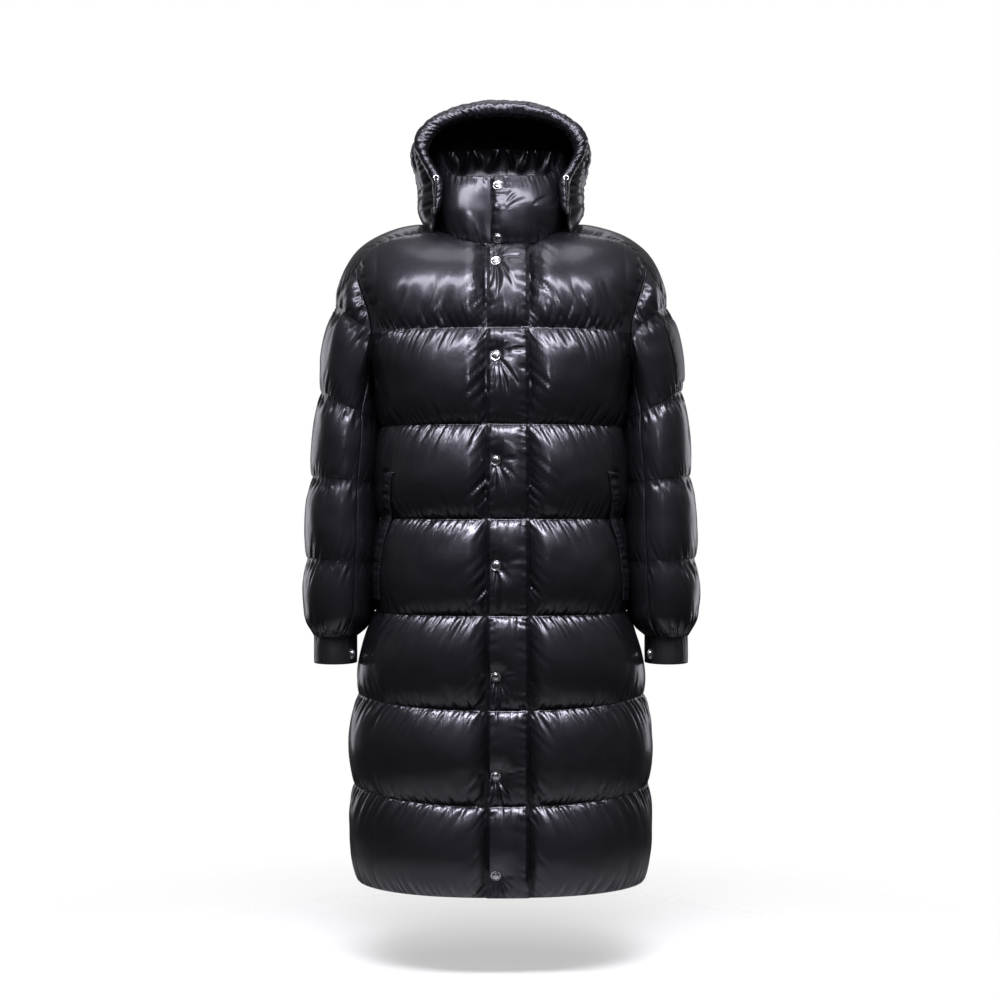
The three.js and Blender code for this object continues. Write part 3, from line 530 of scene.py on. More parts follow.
# A wall between a fine outer grid and an inner one that keeps only some of its rows and columns
def makeWall(name, outer, inner, seam, keep=(6, 6), closed=False):
    rows, columns = outer.shape[:2]
    keptRows = kept(rows, keep[0])
    keptColumns = list(range(0, columns, keep[1])) if closed else kept(columns, keep[1])
    inside = inner[np.ix_(keptRows, keptColumns)]
    points = np.concatenate([outer.reshape(-1, 3), inside.reshape(-1, 3)])
    seamValues = np.concatenate([seam.reshape(-1, 2), seam[np.ix_(keptRows, keptColumns)].reshape(-1, 2)])
    first = rows * columns
    faces = gridQuads(rows, columns, 0, closed)
    faces += gridQuads(len(keptRows), len(keptColumns), first, closed, True)
    if closed:
        fine = list(range(columns))
        coarse = [first + k for k in range(len(keptColumns))]
        faces += joinLoops(fine, coarse, keptColumns)
        lastFine, lastCoarse = (rows - 1) * columns, (len(keptRows) - 1) * len(keptColumns)
        top = joinLoops([lastFine + k for k in fine], [lastCoarse + k for k in coarse], keptColumns)
        faces += [face[::-1] for face in top]
    else:
        fine = edgeLoop(rows, columns)
        coarse = edgeLoop(len(keptRows), len(keptColumns))
        places = {place: k for k, place in enumerate(fine)}
        picks = [places[(keptRows[i], keptColumns[j])] for i, j in coarse]
        fine = [i * columns + j for i, j in fine]
        coarse = [first + i * len(keptColumns) + j for i, j in coarse]
        faces += joinLoops(fine, coarse, picks)
    return makeMesh(name, points, faces, seamValues)


def paddedPiece(node, outer, inner, seam, keep=(6, 6)):
    item = makeWall(node + "_down", outer, inner, seam, keep)
    finishPiece(item, shellCloth, "shell", node)


wall = 3.0  # shell and lining together, where a line is stitched
squareness = 2.4
sideSeamAngle = 95
underarmLine = 5.25
armholeAngle = 57
neckCorner = 88
armholeTop = 226
frontNeckShare = 1 / 8
backNeckShare = 3 / 10
seamGap = 0.35
armholeGap = 2.1
yokeTurn = 40
flapRightEdge = -21.6
flapLeftEdge = 42.4
flapLift = 0.8
flapWall = 2.0
centreGap = 0.8

# line, z, side, halfWidth, front, back
bodyLines = [
    (0, -1030, 4, 228, 146, 140),
    (1, -890, 16, 233, 150, 144),
    (2, -744, 12, 226, 153, 146),
    (3, -600, 0, 199, 156, 146),
    (4, -453, 0, 192, 156, 144),
    (5, -309, 0, 191, 156, 142),
    (6, -162, -4, 232, 150, 140),
]
# x, y, z
frontTop = [
    (0, -97, -32),
    (32, -94, -30),
    (62, -80, -22),
    (88, -54, -8),
    (130, -55, -9),
    (182, -58, -18),
    (210, -60, -36),
    (226, -61, -60),
]
backTop = [
    (0, 68, 10),
    (45, 62, 9),
    (88, 40, 4),
    (130, 47, -4),
    (182, 54, -18),
    (210, 59, -36),
    (226, 61, -60),
]
puff = {
    "body": 26, "bodySide": 11, "bodyByArmpit": 4, "bodyByArm": 13, "sleeve": 8, "sleeveByBody": 4,
    "yoke": 8, "collar": 9, "hood": 8, "flap": 14,
}
# z, how far a sleeve's inner side lies beyond its solid, against the body
sleeveAside = [
    (-639, 0),
    (-625, 8),
    (-605, 13.5),
    (-550, 13.5),
    (-500, 12),
    (-450, 9),
    (-400, 7),
    (-300, 6),
    (-235, 0),
]
# Heights over which the down on the body's side changes for the arm beside it
armZone = {"foot": (-730, -640), "armpit": (-335, -255), "head": (-250, -180), "sideX": 190}
# How a body panel leaves line 6 and meets its top edge
frontRise = [(0, 0.15, 0.9), (0, 0.7, 0.6)]
backRise = [(0, -0.12, 0.9), (0, -0.6, 0.6)]
# The shoulder's middle and radii, and the way out beside the sleeve below the armpit
shoulder = {"x": 185, "z": -190, "radii": (60, 80, 130), "armpit": (-310, -230), "sleeveWay": (1, 0.04, 0)}


def bodyPoint(angle, line):
    ring = rowAt(bodyLines, line)
    s, c = np.sin(np.radians(angle)), np.cos(np.radians(angle))
    power = 2 / squareness
    depth = np.where(c > 0, ring[..., 4], ring[..., 5])
    return vec(
        ring[..., 3] * np.sign(s) * np.abs(s) ** power,
        -depth * np.sign(c) * np.abs(c) ** power,
        ring[..., 1] + ring[..., 2] * s * s,
    )


def angleOfX(x, line):
    halfWidth = rowAt(bodyLines, np.minimum(line, 6))[..., 3]
    return np.degrees(np.arcsin((np.abs(x) / halfWidth) ** (squareness / 2)))


def outerAngle(line, isBack):
    rise = np.clip((line - underarmLine) / (6 - underarmLine), 0, 1)
    top = 180 - armholeAngle if isBack else armholeAngle
    return lerp(sideSeamAngle, top, rise**0.6)


# Distance round the body by its angle, on line 3
ringAngles = np.linspace(0, 180, 361)
ringRun = runAlong(bodyPoint(ringAngles, np.full(361, 3.0)))


def seamX(share, neckShare, insideX):
    toNeck = lerp(insideX, neckCorner, share / neckShare)
    toArmhole = lerp(neckCorner, armholeTop, (share - neckShare) / (1 - neckShare))
    return np.where(share < neckShare, toNeck, toArmhole)


# Above line 6 a panel curves up to its top edge
def withTop(foot, top, line, rise):
    upper = curveBetween(foot, top, *rise, np.clip(line - 6, 0, 1) + 0 * foot[..., 0])
    return np.where((line > 6)[..., None], upper, foot)


# The front on the wearer's left, by distance from the centre or by share from insideX to its outer edge
def frontPoint(line, x=None, share=None, insideX=0):
    low = np.minimum(line, 6)
    if x is not None:
        angle, topX = angleOfX(x, low), np.abs(x) + 0 * low
    else:
        angle = lerp(angleOfX(insideX, low), outerAngle(low, False), share)
        topX = seamX(share, frontNeckShare, insideX) + 0 * low
    return withTop(bodyPoint(angle, low), rowAt(frontTop, topX), line, frontRise), angle


def backPoint(line, share):
    low = np.minimum(line, 6)
    angle = 180 - share * (180 - outerAngle(low, True))
    head = rowAt(backTop, seamX(np.abs(share), backNeckShare, 0) + 0 * low) * vec(np.sign(share), 1, 1)
    return withTop(bodyPoint(angle, low), head, line, backRise), angle


# The way out at a sewn edge: sideways beside the sleeve, round the shoulder above it
def seamNormal(p):
    x, y, z = np.moveaxis(p, -1, 0)
    upper = unit(vec(np.maximum(np.abs(x) - shoulder["x"], 0), y, z - shoulder["z"]) / shoulder["radii"])
    n = unit(lerp(np.array(shoulder["sleeveWay"]), upper, smooth(*shoulder["armpit"], z)[..., None]))
    return n * vec(np.sign(x), 1, 1)


# The lining under a panel, which meets that of the next panel at the edges sewn to it
def liningUnder(p, n, *sewnEdges):
    inner = n.copy()
    for edge in sewnEdges:
        inner[edge] = seamNormal(p[edge])
    return p - inner * wall


def bodyPuff(p, t):
    z = p[..., 2]
    toSide = np.minimum(np.abs(p[..., 0]) / armZone["sideX"], 1) ** 3
    byArm = smooth(*armZone["foot"], z) * (1 - smooth(*armZone["head"], z))
    besideArm = lerp(puff["bodyByArm"], puff["bodyByArmpit"], smooth(*armZone["armpit"], z))
    atSide = lerp(puff["bodySide"], besideArm, byArm)
    return lerp(puff["body"], atSide, toSide) * fullness(t, bodyDown["above"])


# Gathers are given as slant, strength and reach here and below, and lumps as rise and size
bodyDown = {
    "above": 0.42,  # a lower power makes the down fuller above its middle
    "sewnShare": 0.35, "sewnReach": 55, "neckShare": 0.35, "lowGathers": (0.7, 0.75),
    "streaks": (-0.6, 0.8, 2.4), "streaksFade": (0.28, 0.5), "lump": (1.5, 58), "smallLump": (0.9, 25),
    "topLumps": 0.25 / 0.9, "lumpsFrom": 40, "sideGathers": (0.2, 0.6, 0.6), "moreByArm": (-330, -230),
}


# The down's height over a body panel, with its gathers. besideEdge is the distance from its sewn side edge.
def bodyHeight(p, lines, angle, besideEdge, slant, seed):
    channel, t, fromLow, fromHigh = lineDistances(p, lines)
    isTop = channel == 6
    u = np.interp(angle, ringAngles, ringRun)
    sewn = np.where(lines[:, None] < 5, bodyDown["sewnShare"], 0.0)
    height = bodyPuff(p, t) * sewnRamp(besideEdge, sewn, bodyDown["sewnReach"])
    atNeck = np.where(isTop, bodyDown["neckShare"], 1.0)
    height = height - gathers(u, fromHigh, seed + channel, slant, atNeck, atNeck)
    lowSlant, lowShare = bodyDown["lowGathers"]
    height = height - gathers(u, fromLow, seed + channel + 8, lowSlant * slant, lowShare, lowShare)
    streakSlant, *sizes = bodyDown["streaks"]
    streaks = gathers(0.5 * u, fromLow, seed + 27, streakSlant * slant, *sizes)
    height = height - streaks * isTop * (1 - smooth(*bodyDown["streaksFade"], t))
    small = lumps(p, *bodyDown["smallLump"], seed + 1) * np.where(isTop, bodyDown["topLumps"], 1)
    soft = lumps(p, *bodyDown["lump"], seed) + small
    height = height + soft * fullness(t) * np.clip(besideEdge / bodyDown["lumpsFrom"], 0, 1)
    byArm = 0.7 + smooth(*bodyDown["moreByArm"], p[..., 2])
    height = height - gathers(-p[..., 2], besideEdge, seed + 20, *bodyDown["sideGathers"]) * byArm
    return np.maximum(height, 0.0), seamAt(u, fromLow, fromHigh)


# x, z of the studs on the storm flap
studPlaces = [(-8, z) for z in (-58, -205, -364, -523, -692, -843, -995)]
fronts = {
    "rows": 42, "underFlap": 10, "besideFlap": 24, "besideWidth": 30, "outward": 150, "slant": -0.55,
    "calm": 18, "sewn": (0.12, 30), "flapGathers": (-1.25, 1.3, 0.66),
    "pull": {"all": 0.4, "belowStud": 34, "reach": 30},
}
pocketSlit = {
    "topLine": 4.5, "bottomLine": 3.15, "topX": 163, "bottomX": 192, "curve": 0.8, "depth": 6, "width": 4,
    "besideWelt": 2,
}


def frontGrid(flapEdge, lines):
    insideX = flapEdge + fronts["besideWidth"]
    line = lines[:, None]
    underFlap = np.linspace(centreGap, flapEdge, fronts["underFlap"])[:-1]
    besideFlap = np.linspace(flapEdge, insideX, fronts["besideFlap"])[:-1]
    near = frontPoint(line, x=np.concatenate([underFlap, besideFlap])[None, :])
    far = frontPoint(line, share=np.linspace(0, 1, fronts["outward"])[None, :], insideX=insideX)
    return [np.concatenate(pair, 1) for pair in zip(near, far)]


# How far out the pocket's slanted opening lies
def slitX(lines):
    top, bottom = pocketSlit["topLine"], pocketSlit["bottomLine"]
    down = np.clip((top - lines) / (top - bottom), 0, 1) ** pocketSlit["curve"]
    return lerp(pocketSlit["topX"], pocketSlit["bottomX"], down)[:, None]


def frontHeight(p, lines, angle, flapEdge, seed):
    run = runAlong(p, 1)
    height, seam = bodyHeight(p, lines, angle, run[:, -1:] - run, fronts["slant"], seed)
    x, z = np.abs(p[..., 0]), p[..., 2]
    fromFlap = x - flapEdge
    pull = fronts["pull"]
    pulled = sum(np.exp(-(((z - studZ + pull["belowStud"]) / pull["reach"]) ** 2)) for _, studZ in studPlaces)
    pucker = gathers(-z, np.maximum(fromFlap, 0), seed + 30, *fronts["flapGathers"]) * (pull["all"] + pulled)
    height = height * sewnRamp(fromFlap, *fronts["sewn"]) - pucker * (fromFlap > 0)
    onSlit = ((lines >= pocketSlit["bottomLine"]) & (lines <= pocketSlit["topLine"]))[:, None]
    fromSlit = (x - slitX(lines) - pocketSlit["besideWelt"]) / pocketSlit["width"]
    slit = pocketSlit["depth"] * np.exp(-(fromSlit**2))
    return np.maximum(height - slit * onSlit, 0.0), seam


def makeFront(sideName, side, flapEdge, seed):
    lines = channelRows(0, 7, fronts["rows"])
    p, angle = frontGrid(flapEdge, lines)
    p = calmTop(p, lines, fronts["calm"])
    height, seam = frontHeight(p, lines, angle, flapEdge, seed)
    p = p * (side, 1, 1)
    n = gridNormals(p, p * (1, 1, 0) + (0, -60, 60))
    outer = lifted(p, n, height)
    paddedPiece("front_" + sideName, outer, liningUnder(p, n, np.s_[-1], np.s_[:, -1]), seam)
    return outer


frontRightOuter = makeFront("right", -1, -flapRightEdge, 40)
frontLeftOuter = makeFront("left", 1, flapLeftEdge, 90)
print("fronts are made")

back = {"rows": 34, "columns": 300, "halfRound": 290, "slant": -0.4, "calm": 14}


def makeBack():
    lines = channelRows(0, 7, back["rows"])
    inset = 1 - seamGap / back["halfRound"]
    p, angle = backPoint(lines[:, None], np.linspace(-inset, inset, back["columns"])[None, :])
    p = calmTop(p, lines, back["calm"])
    run = runAlong(p, 1)
    fromEdge = np.minimum(run, run[:, -1:] - run)
    angle = np.where(angle > 180, 360 - angle, angle)
    height, seam = bodyHeight(p, lines, angle, fromEdge, back["slant"], 150)
    n = gridNormals(p, p * (1, 1, 0) + (0, 60, 60))
    inner = liningUnder(p, n, np.s_[-1], np.s_[:, 0], np.s_[:, -1])
    paddedPiece("back", lifted(p, n, height), inner, seam)


makeBack()
print("back is made")

# reach, x, y, z
yokeCrest = [
    (0, 98, -7, 8),
    (0.22, 135, -3, 8),
    (0.46, 188, 0, -7),
    (0.64, 222, 0, -29),
    (0.78, 242, 0, -56),
    (0.9, 255, 0, -88),
    (1, 262, 0, -116),
]
yoke = {
    "rows": 74, "columns": 110, "inset": 0.006, "sewn": (0.3, 36),
    "gathers": [(0.3, 0.8, 0.7), (-0.3, 0.8, 0.7), (0.2, 0.7, 0.9)], "lump": (0.9, 40),
}


def yokePoint(reach, across):
    x = lerp(neckCorner, armholeTop, reach)
    front, rear = rowAt(frontTop, x), rowAt(backTop, x)
    crest = rowAt(yokeCrest, reach)[..., 1:]
    across = np.asarray(across, float)[..., None]
    ofFront = 2 * (across - 0.5) * (across - 1)
    ofCrest = 4 * across * (1 - across)
    ofBack = 2 * across * (across - 0.5)
    return front * ofFront + crest * ofCrest + rear * ofBack


def makeYoke(sideName, side, seed):
    across = channelRows(0, 1, yoke["rows"])
    q = lerp(yoke["inset"], 1 - yoke["inset"], across)[:, None]
    reach = np.linspace(0, 1, yoke["columns"])[None, :]
    p = yokePoint(reach + 0 * q, q + 0 * reach)
    channel, t, fromFront, fromBack = lineDistances(p, across)
    u = runAlong(p[0])[None, :] + 0 * q
    toEnd = u[0, -1] - u
    height = puff["yoke"] * fullness(t) * sewnRamp(np.minimum(u, toEnd), *yoke["sewn"])
    for k, (run, away) in enumerate([(u, fromFront), (u, fromBack), (fromFront, toEnd)]):
        height = height - gathers(run, away, seed + k, *yoke["gathers"][k])
    height = np.maximum(height + lumps(p, *yoke["lump"], seed) * fullness(t), 0)
    p = p * (side, 1, 1)
    n = gridNormals(p, p * (1, 0, 0) + (0, 0, 90))
    inner = liningUnder(p, n, np.s_[0], np.s_[-1], np.s_[:, -1])
    paddedPiece("yoke_" + sideName, lifted(p, n, height), inner, seamAt(u, fromFront, fromBack))


makeYoke("right", -1, 240)
makeYoke("left", 1, 250)
print("yokes are made")

# line, x, y, z, halfWidth, halfDepth, tilt
sleeveLines = [
    (2, 243, 0, -275, 44, 76, 0.55),
    (3, 252, -3, -391, 48, 77, 0.1),
    (4, 259, -8, -517, 49, 74, 0.03),
    (4.7, 263, -12, -604, 44, 66, 0),
    (5, 263, -14, -639, 34, 48, 0),
]
firstSleeveLine = {"x": 201, "z": -162, "slope": 0.75}
armholeTurns = [40, 60, 80, 100, 120, 140, 160, 180]
armholeLines = [7, 6.6, 6.32, 6, 5.6, 5.32, 5.27, underarmLine]
sleeve = {
    "rows": 44,
    "upper": (-120, 120, 150),  # from and to what turn, and in how many columns
    "under": (120, 240, 76), "seamInset": 0.25, "around": 390, "above": 0.38, "sewn": (0.4, 30),
    "capReach": 40, "slant": 0.35,
    "topGathers": (2.0, 0.65),  # strength and reach
    "lowGathers": (0.7, 0.8), "cuffGathers": 1.5, "byBody": 0.45, "lump": (1.2, 46), "smallLump": (0.8, 21),
}


def armholePoint(turn):
    isFront = turn <= 180
    fromHead = np.where(isFront, turn, 360 - turn)
    line = np.interp(fromHead, armholeTurns, armholeLines)
    edge = np.ones_like(line)
    onFront, _ = frontPoint(line, share=edge, insideX=flapLeftEdge)
    onBack, _ = backPoint(line, edge)
    onYoke = yokePoint(edge, 0.5 + np.where(isFront, -0.5, 0.5) * np.minimum(fromHead / yokeTurn, 1))
    onBody = np.where(isFront[..., None], onFront, onBack)
    return np.where((fromHead <= yokeTurn)[..., None], onYoke, onBody)


def sleeveRing(turn, line):
    ring = rowAt(sleeveLines, line)
    x = ring[..., 4] * np.cos(np.radians(turn))
    y = ring[..., 2] - ring[..., 5] * np.sin(np.radians(turn))
    return vec(ring[..., 1] + x, y, ring[..., 3] + ring[..., 6] * x)


def sleeveCap(turn, t):
    fromHead = np.where(turn <= 180, turn, 360 - turn)
    byBody = smooth(20, 170, fromHead)
    leaving = vec(lerp(0.35, 0.15, byBody), 0, lerp(-0.9, -1, byBody))
    belowYoke = smooth(yokeTurn - 10, yokeTurn + 25, fromHead)
    start = armholePoint(turn) + leaving * (2 * seamGap * (1 - belowYoke))[..., None]
    start = start + vec(armholeGap * belowYoke, 0, 0)
    return curveBetween(start, sleeveRing(turn, 2.0 + 0 * turn), leaving, (0.1, 0, -0.95), t)


def firstLineAt(turns):
    ts = np.arange(0.03, 0.9, 0.01)
    p = sleeveCap(turns[None, :] + 0 * ts[:, None], ts[:, None] + 0 * turns[None, :])
    over = p[..., 2] - firstSleeveLine["z"] - (p[..., 0] - firstSleeveLine["x"]) * firstSleeveLine["slope"]
    k = np.argmax(over < 0, axis=0)
    columns = np.arange(len(turns))
    high, low = over[np.maximum(k - 1, 0), columns], over[k, columns]
    share = np.where(k > 0, high / np.maximum(high - low, 1e-6), 0)
    return np.where(k > 0, ts[np.maximum(k - 1, 0)] + 0.01 * share, ts[0])


def sleeveGrid(turns, lines):
    turn = (turns % 360)[None, :] + 0 * lines[:, None]
    line = lines[:, None] + 0 * turn
    first = firstLineAt(turns % 360)[None, :]
    t = np.where(line <= 1, line * first, lerp(first, 1, np.clip(line - 1, 0, 1)))
    cap = sleeveCap(turn, np.clip(t, 0, 1))
    return np.where((line >= 2)[..., None], sleeveRing(turn, np.maximum(line, 2)), cap)


def sleeveHeight(p, turns, lines, seed, fromSeam):
    channel, t, fromTop, fromLow = lineDistances(p, lines)
    byBody = smooth(0.1, 0.9, (1 - np.cos(np.radians(turns))) / 2)[None, :]
    room = np.where(channel < 2, smooth(0, sleeve["capReach"], fromTop + fromLow), 1)
    height = lerp(puff["sleeve"], puff["sleeveByBody"], byBody) * fullness(t, sleeve["above"]) * room
    height = height * sewnRamp(fromSeam, *sleeve["sewn"])
    u = turns[None, :] / 360 * sleeve["around"] + 0 * p[..., 0]
    strength = lerp(1, sleeve["byBody"], byBody)
    height = height - gathers(u, fromTop, seed + channel, sleeve["slant"], *sleeve["topGathers"]) * strength
    lowStrength, lowReach = sleeve["lowGathers"]
    toCuff = np.where(channel == 4, sleeve["cuffGathers"], lowStrength)
    height = height - gathers(u, fromLow, seed + channel + 9, -sleeve["slant"], toCuff, lowReach) * strength
    soft = lumps(p, *sleeve["lump"], seed) + lumps(p, *sleeve["smallLump"], seed + 2)
    height = np.maximum(height + soft * fullness(t) * strength * room, 0.0)
    aside = byBody * np.interp(p[..., 2], *zip(*sleeveAside))
    return height + aside, seamAt(u, fromTop, fromLow)


# The way out all round a sleeve, whose middle lies farther in at its head
def sleeveFaceOut(p, side):
    centre = np.where(p[..., 2] > -260, 190, 251) * side
    return vec(p[..., 0] - centre, p[..., 1], np.where(p[..., 2] > -200, 60, 0))


def makeSleeve(sideName, side, part, seed):
    first, last, count = sleeve[part]
    turns = np.linspace(first + sleeve["seamInset"], last - sleeve["seamInset"], count)
    lines = channelRows(0, 5, sleeve["rows"])
    p = sleeveGrid(turns, lines)
    fromSeam = np.minimum(turns - first, last - turns)[None, :] / 360 * sleeve["around"]
    height, seam = sleeveHeight(p, turns, lines, seed, fromSeam)
    p = p * (side, 1, 1)
    n = gridNormals(p, sleeveFaceOut(p, side), 3)
    outer = lifted(p, n, height)
    paddedPiece(f"sleeve_{sideName}_{part}", outer, p - n * wall, seam, (8, 6))
    return turns, lines, outer, n


makeSleeve("right", -1, "upper", 300)
makeSleeve("right", -1, "under", 320)
leftUpper = makeSleeve("left", 1, "upper", 340)
makeSleeve("left", 1, "under", 360)
print("sleeves are made")

cuff = {
    "height": 43, "share": 0.98, "rows": 26, "columns": 180, "around": 256, "centre": (263, -14, 0),
    "thickness": 1.2, "gathers": (0.1, 0.45, 0.6), "thinEdge": (0.5, 3), "lump": (0.5, 30),
    "stitchLine": (37, 0.4, 0.8),  # drop, depth and width
}


def makeCuff(sideName, side, seed):
    turns = np.linspace(0, 360, cuff["columns"], endpoint=False)[None, :]
    drop = np.linspace(seamGap, cuff["height"], cuff["rows"])[:, None]
    ring = sleeveRing(turns, 5.0 + 0 * turns) + 0 * drop[..., None]
    centre = np.array(cuff["centre"])
    p = lerp(centre, ring, np.array([cuff["share"]] * 2 + [1])) - vec(0, 0, drop + 0 * turns)
    u = turns / 360 * cuff["around"] + 0 * drop
    toHem = cuff["height"] - drop
    thinner, thinReach = cuff["thinEdge"]
    height = cuff["thickness"] - gathers(u, drop + 0 * u, seed, *cuff["gathers"])
    height = height - thinner * (1 - smooth(0, thinReach, toHem))
    height = height + lumps(p, *cuff["lump"], seed)
    lineDrop, depth, width = cuff["stitchLine"]
    height = height - depth * np.exp(-(((drop - lineDrop) / width) ** 2))
    p = p * (side, 1, 1)
    out = unit((p - centre * (side, 1, 0)) * (1, 1, 0))
    seam = seamAt(u, drop, toHem)
    item = makeWall("cuff_" + sideName + "_band", lifted(p, out, height), p - out * wall, seam, (5, 6), True)
    finishPiece(item, trimCloth, "trim", "cuff_" + sideName)


makeCuff("right", -1, 380)
makeCuff("left", 1, 390)
print("cuffs are made")


# angle, x, y, z, topX, topY, topZ
collarEdges = [
    (0, 0, -97.5, -31, 0, -95, 79),
    (25, 40, -92, -27, 43, -89, 80),
    (50, 71, -73, -17, 75, -68, 86),
    (90, 97, -8, 10, 98, -8, 128),
    (130, 82, 44, 6, 84, 46, 143),
    (155, 45, 62, 10, 47, 66, 148),
    (180, 0, 68.5, 12, 0, 73, 152),
]
collar = {
    "start": -9.5, "end": 367,
    "tuck": (11, 300, 352),  # the overlap's under layer: how far in, and between which angles it gets there
    "rows": 54, "columns": 340, "around": 560, "neckDrop": {"angle": 76, "spread": 24, "drop": 11},
    "underLap": (0.75, 320), "sewn": (0.25, 9), "fullness": 1.1, "foldRise": 7,
    "foldSpread": 75, "foldBlur": 6,
    "outside": {"base": (400, 0.3, 0.8, 0.8), "top": (401, -0.2, 0.6, 0.6), "lap": (402, 0.1, 0.6, 0.5)},
    "inside": {"top": (403, 0.05, 0.45, 1.2), "base": (404, -0.1, 0.8, 1.0)}, "lump": (1.2, 34, 4),
    "lining": {"front": 2.5, "back": 9, "stretch": 0.6, "creases": 1.5, "least": -1.2},
}
# around, height, toAround, toHeight, depth, width: around the neck in mm from the centre front
collarCreases = [
    (-6, 52, -24, 78, 2.0, 2.0),
    (-4, 60, -14, 88, 1.8, 1.8),
    (-10, 48, -38, 62, 1.7, 2.2),
    (6, 62, 24, 82, 2.0, 2.0),
    (8, 57, 36, 70, 1.8, 2.0),
    (4, 66, 12, 92, 1.6, 1.8),
    (42, 60, 70, 70, 1.7, 2.4),
    (70, 18, 44, 38, 1.4, 3.0),
    (-66, 20, -38, 40, 1.4, 3.2),
    (88, 72, 62, 52, 1.5, 2.8),
]

# The same on the collar's inside behind the neck, down from its top edge
liningCreases = [
    (196, 1, 182, 46, 4.2, 4.5),
    (203, 1, 216, 40, 3.6, 4.0),
    (232, 1, 226, 34, 3.8, 4.5),
    (243, 1, 258, 46, 4.4, 4.5),
    (272, 1, 264, 40, 4.0, 4.0),
    (284, 1, 300, 44, 4.2, 4.5),
    (318, 1, 309, 36, 3.8, 4.5),
    (326, 1, 341, 46, 4.4, 4.5),
    (356, 1, 350, 38, 3.6, 4.0),
    (364, 1, 380, 42, 4.0, 4.5),
]


def collarPoint(angle, height):
    around = angle % 360
    side = np.where(around > 180, -1, 1)
    edge = rowAt(collarEdges, np.where(side > 0, around, 360 - around))
    x = side * lerp(edge[..., 1], edge[..., 4], height)
    p = vec(x, lerp(edge[..., 2], edge[..., 5], height), lerp(edge[..., 3], edge[..., 6], height))
    inward = unit(vec(-p[..., 0], -8 - p[..., 1], 0))
    depth, start, end = collar["tuck"]
    return p + inward * (depth * smooth(start, end, angle))[..., None]


# A soft fold runs round the collar half way up: lit above, dark below
def collarFold(u, t):
    middle = 0.5 + 0.05 * np.sin(u / 31 + 0.8) + 0.03 * np.sin(u / 13)
    above = np.clip((1 - t) / (1 - middle), 0, 1) ** 0.8
    return blur(np.where(t > middle, above, np.clip(t / middle, 0, 1) ** 0.72), collar["foldBlur"])


def makeCollar():
    rise = channelRows(0, 1, collar["rows"], 0.6)
    angles = np.linspace(collar["start"], collar["end"], collar["columns"])[None, :]
    angle = angles + 0 * rise[:, None]
    p = collarPoint(angle, rise[:, None] + 0 * angles)
    neck = collar["neckDrop"]
    besideNeck = np.exp(-(((turnFrom(0, angle) - neck["angle"]) / neck["spread"]) ** 2))
    p = p - vec(0, 0, neck["drop"] * besideNeck * (1 - rise[:, None]) ** 3)
    channel, t, fromBase, fromTop = lineDistances(p, rise)
    u = angles / 360 * collar["around"] + 0 * t
    fromLap = u - u[:, :1]
    flatter, lapStart = collar["underLap"]
    underLap = 1 - flatter * smooth(lapStart, 352, angle)
    lap = underLap * sewnRamp(fromLap, *collar["sewn"])
    atFront = np.exp(-((turnFrom(0, angle) / collar["foldSpread"]) ** 4))
    height = collar["fullness"] * puff["collar"] * fullness(t)
    height = (height + collar["foldRise"] * atFront * collarFold(u, t)) * lap
    outside = collar["outside"]
    height = height - gathers(u, fromBase, *outside["base"]) - gathers(u, fromTop, *outside["top"])
    height = height - gathers(fromBase, fromLap, *outside["lap"]) - creases(u, fromBase, collarCreases)
    height = np.maximum(height + lumps(p, *collar["lump"]) * fullness(t), 0)
    n = gridNormals(p, p * (1, 1, 0) + (0, 8, 0))
    # the lining is gathered too, and shows above the front
    inside, lining = collar["inside"], collar["lining"]
    atBack = smooth(90, 140, angle) * (1 - smooth(220, 270, angle))
    along = lining["stretch"] * u
    cut = gathers(along, fromTop, *inside["top"]) + gathers(along, fromBase, *inside["base"])
    cut = cut + lining["creases"] * creases(u, fromTop, liningCreases)
    depth = (lining["front"] + lining["back"] * atBack) * fullness(t) - atBack * cut
    outer = lifted(p, n, height)
    inner = lifted(p, n, -wall - np.maximum(depth, lining["least"]))
    paddedPiece("collar", outer, inner, seamAt(u, fromBase, fromTop), (1, 1))
    return outer


collarOuter = makeCollar()
print("collar is made")

# arch, footX, footY, footZ, waistX, waistY, sideX, sideY, sideZ, crownY, crownZ
hoodArches = [
    (0, 112, -60, 8, 104, -68, 130, -62, 128, -58, 194),
    (1, 112, -34, 12, 121, -38, 136, -32, 122, -24, 199),
    (2, 104.6, 2, 17, 130, 3, 137, 6, 118, 14, 197),
    (3, 98, 32.4, 17, 122, 44, 126, 50, 112, 62, 182),
    (4, 84.6, 56, 19, 101, 78, 103, 88, 96, 106, 148),
    (5, 50, 70.6, 22, 64, 96, 66, 110, 68, 126, 96),
    (6, 20, 76.6, 24, 22, 80, 22, 82, 25, 84, 26),
]
hood = {
    "rows": 42, "columns": 300, "crownShare": 0.62, "around": 560, "archSpacing": 26,
    "foot": 0.07,  # the share of an arch beside the collar
    "footDrop": 14, "leastDown": 0.15, "frontGathers": (0.2, 1.0, 1.2), "backGathers": (-0.2, 0.8, 0.8),
    "insideGathers": (0.4, 1.5, 2.2), "lump": (1.6, 48, 6), "insideLump": (1.6, 30, 9),
}
brim = {
    "halfDepth": 13, "halfHeight": 14, "sideShare": 0.62, "inset": 6, "gap": 0.85, "end": 0.965,
    "middleZ": 100, "sides": 8, "steps": 420, "round": 40, "radius": 11, "stretch": 1.6,
    # turn of the stitched line, share of the size that gathers take, and the gathers
    "innerLine": (1.12 * math.pi, 0.03, (441, 0.9, 1.0, 0.8)),
    "hoodLine": (0.5 * math.pi, 0.02, (440, 0.9, 1.0, 0.8)), "innerDent": (0.16, 2.2),
    "sizeLump": (0.03, 24, 3), "lumps": [(1.1, 11, 5), (0.5, 5, 6)],
}
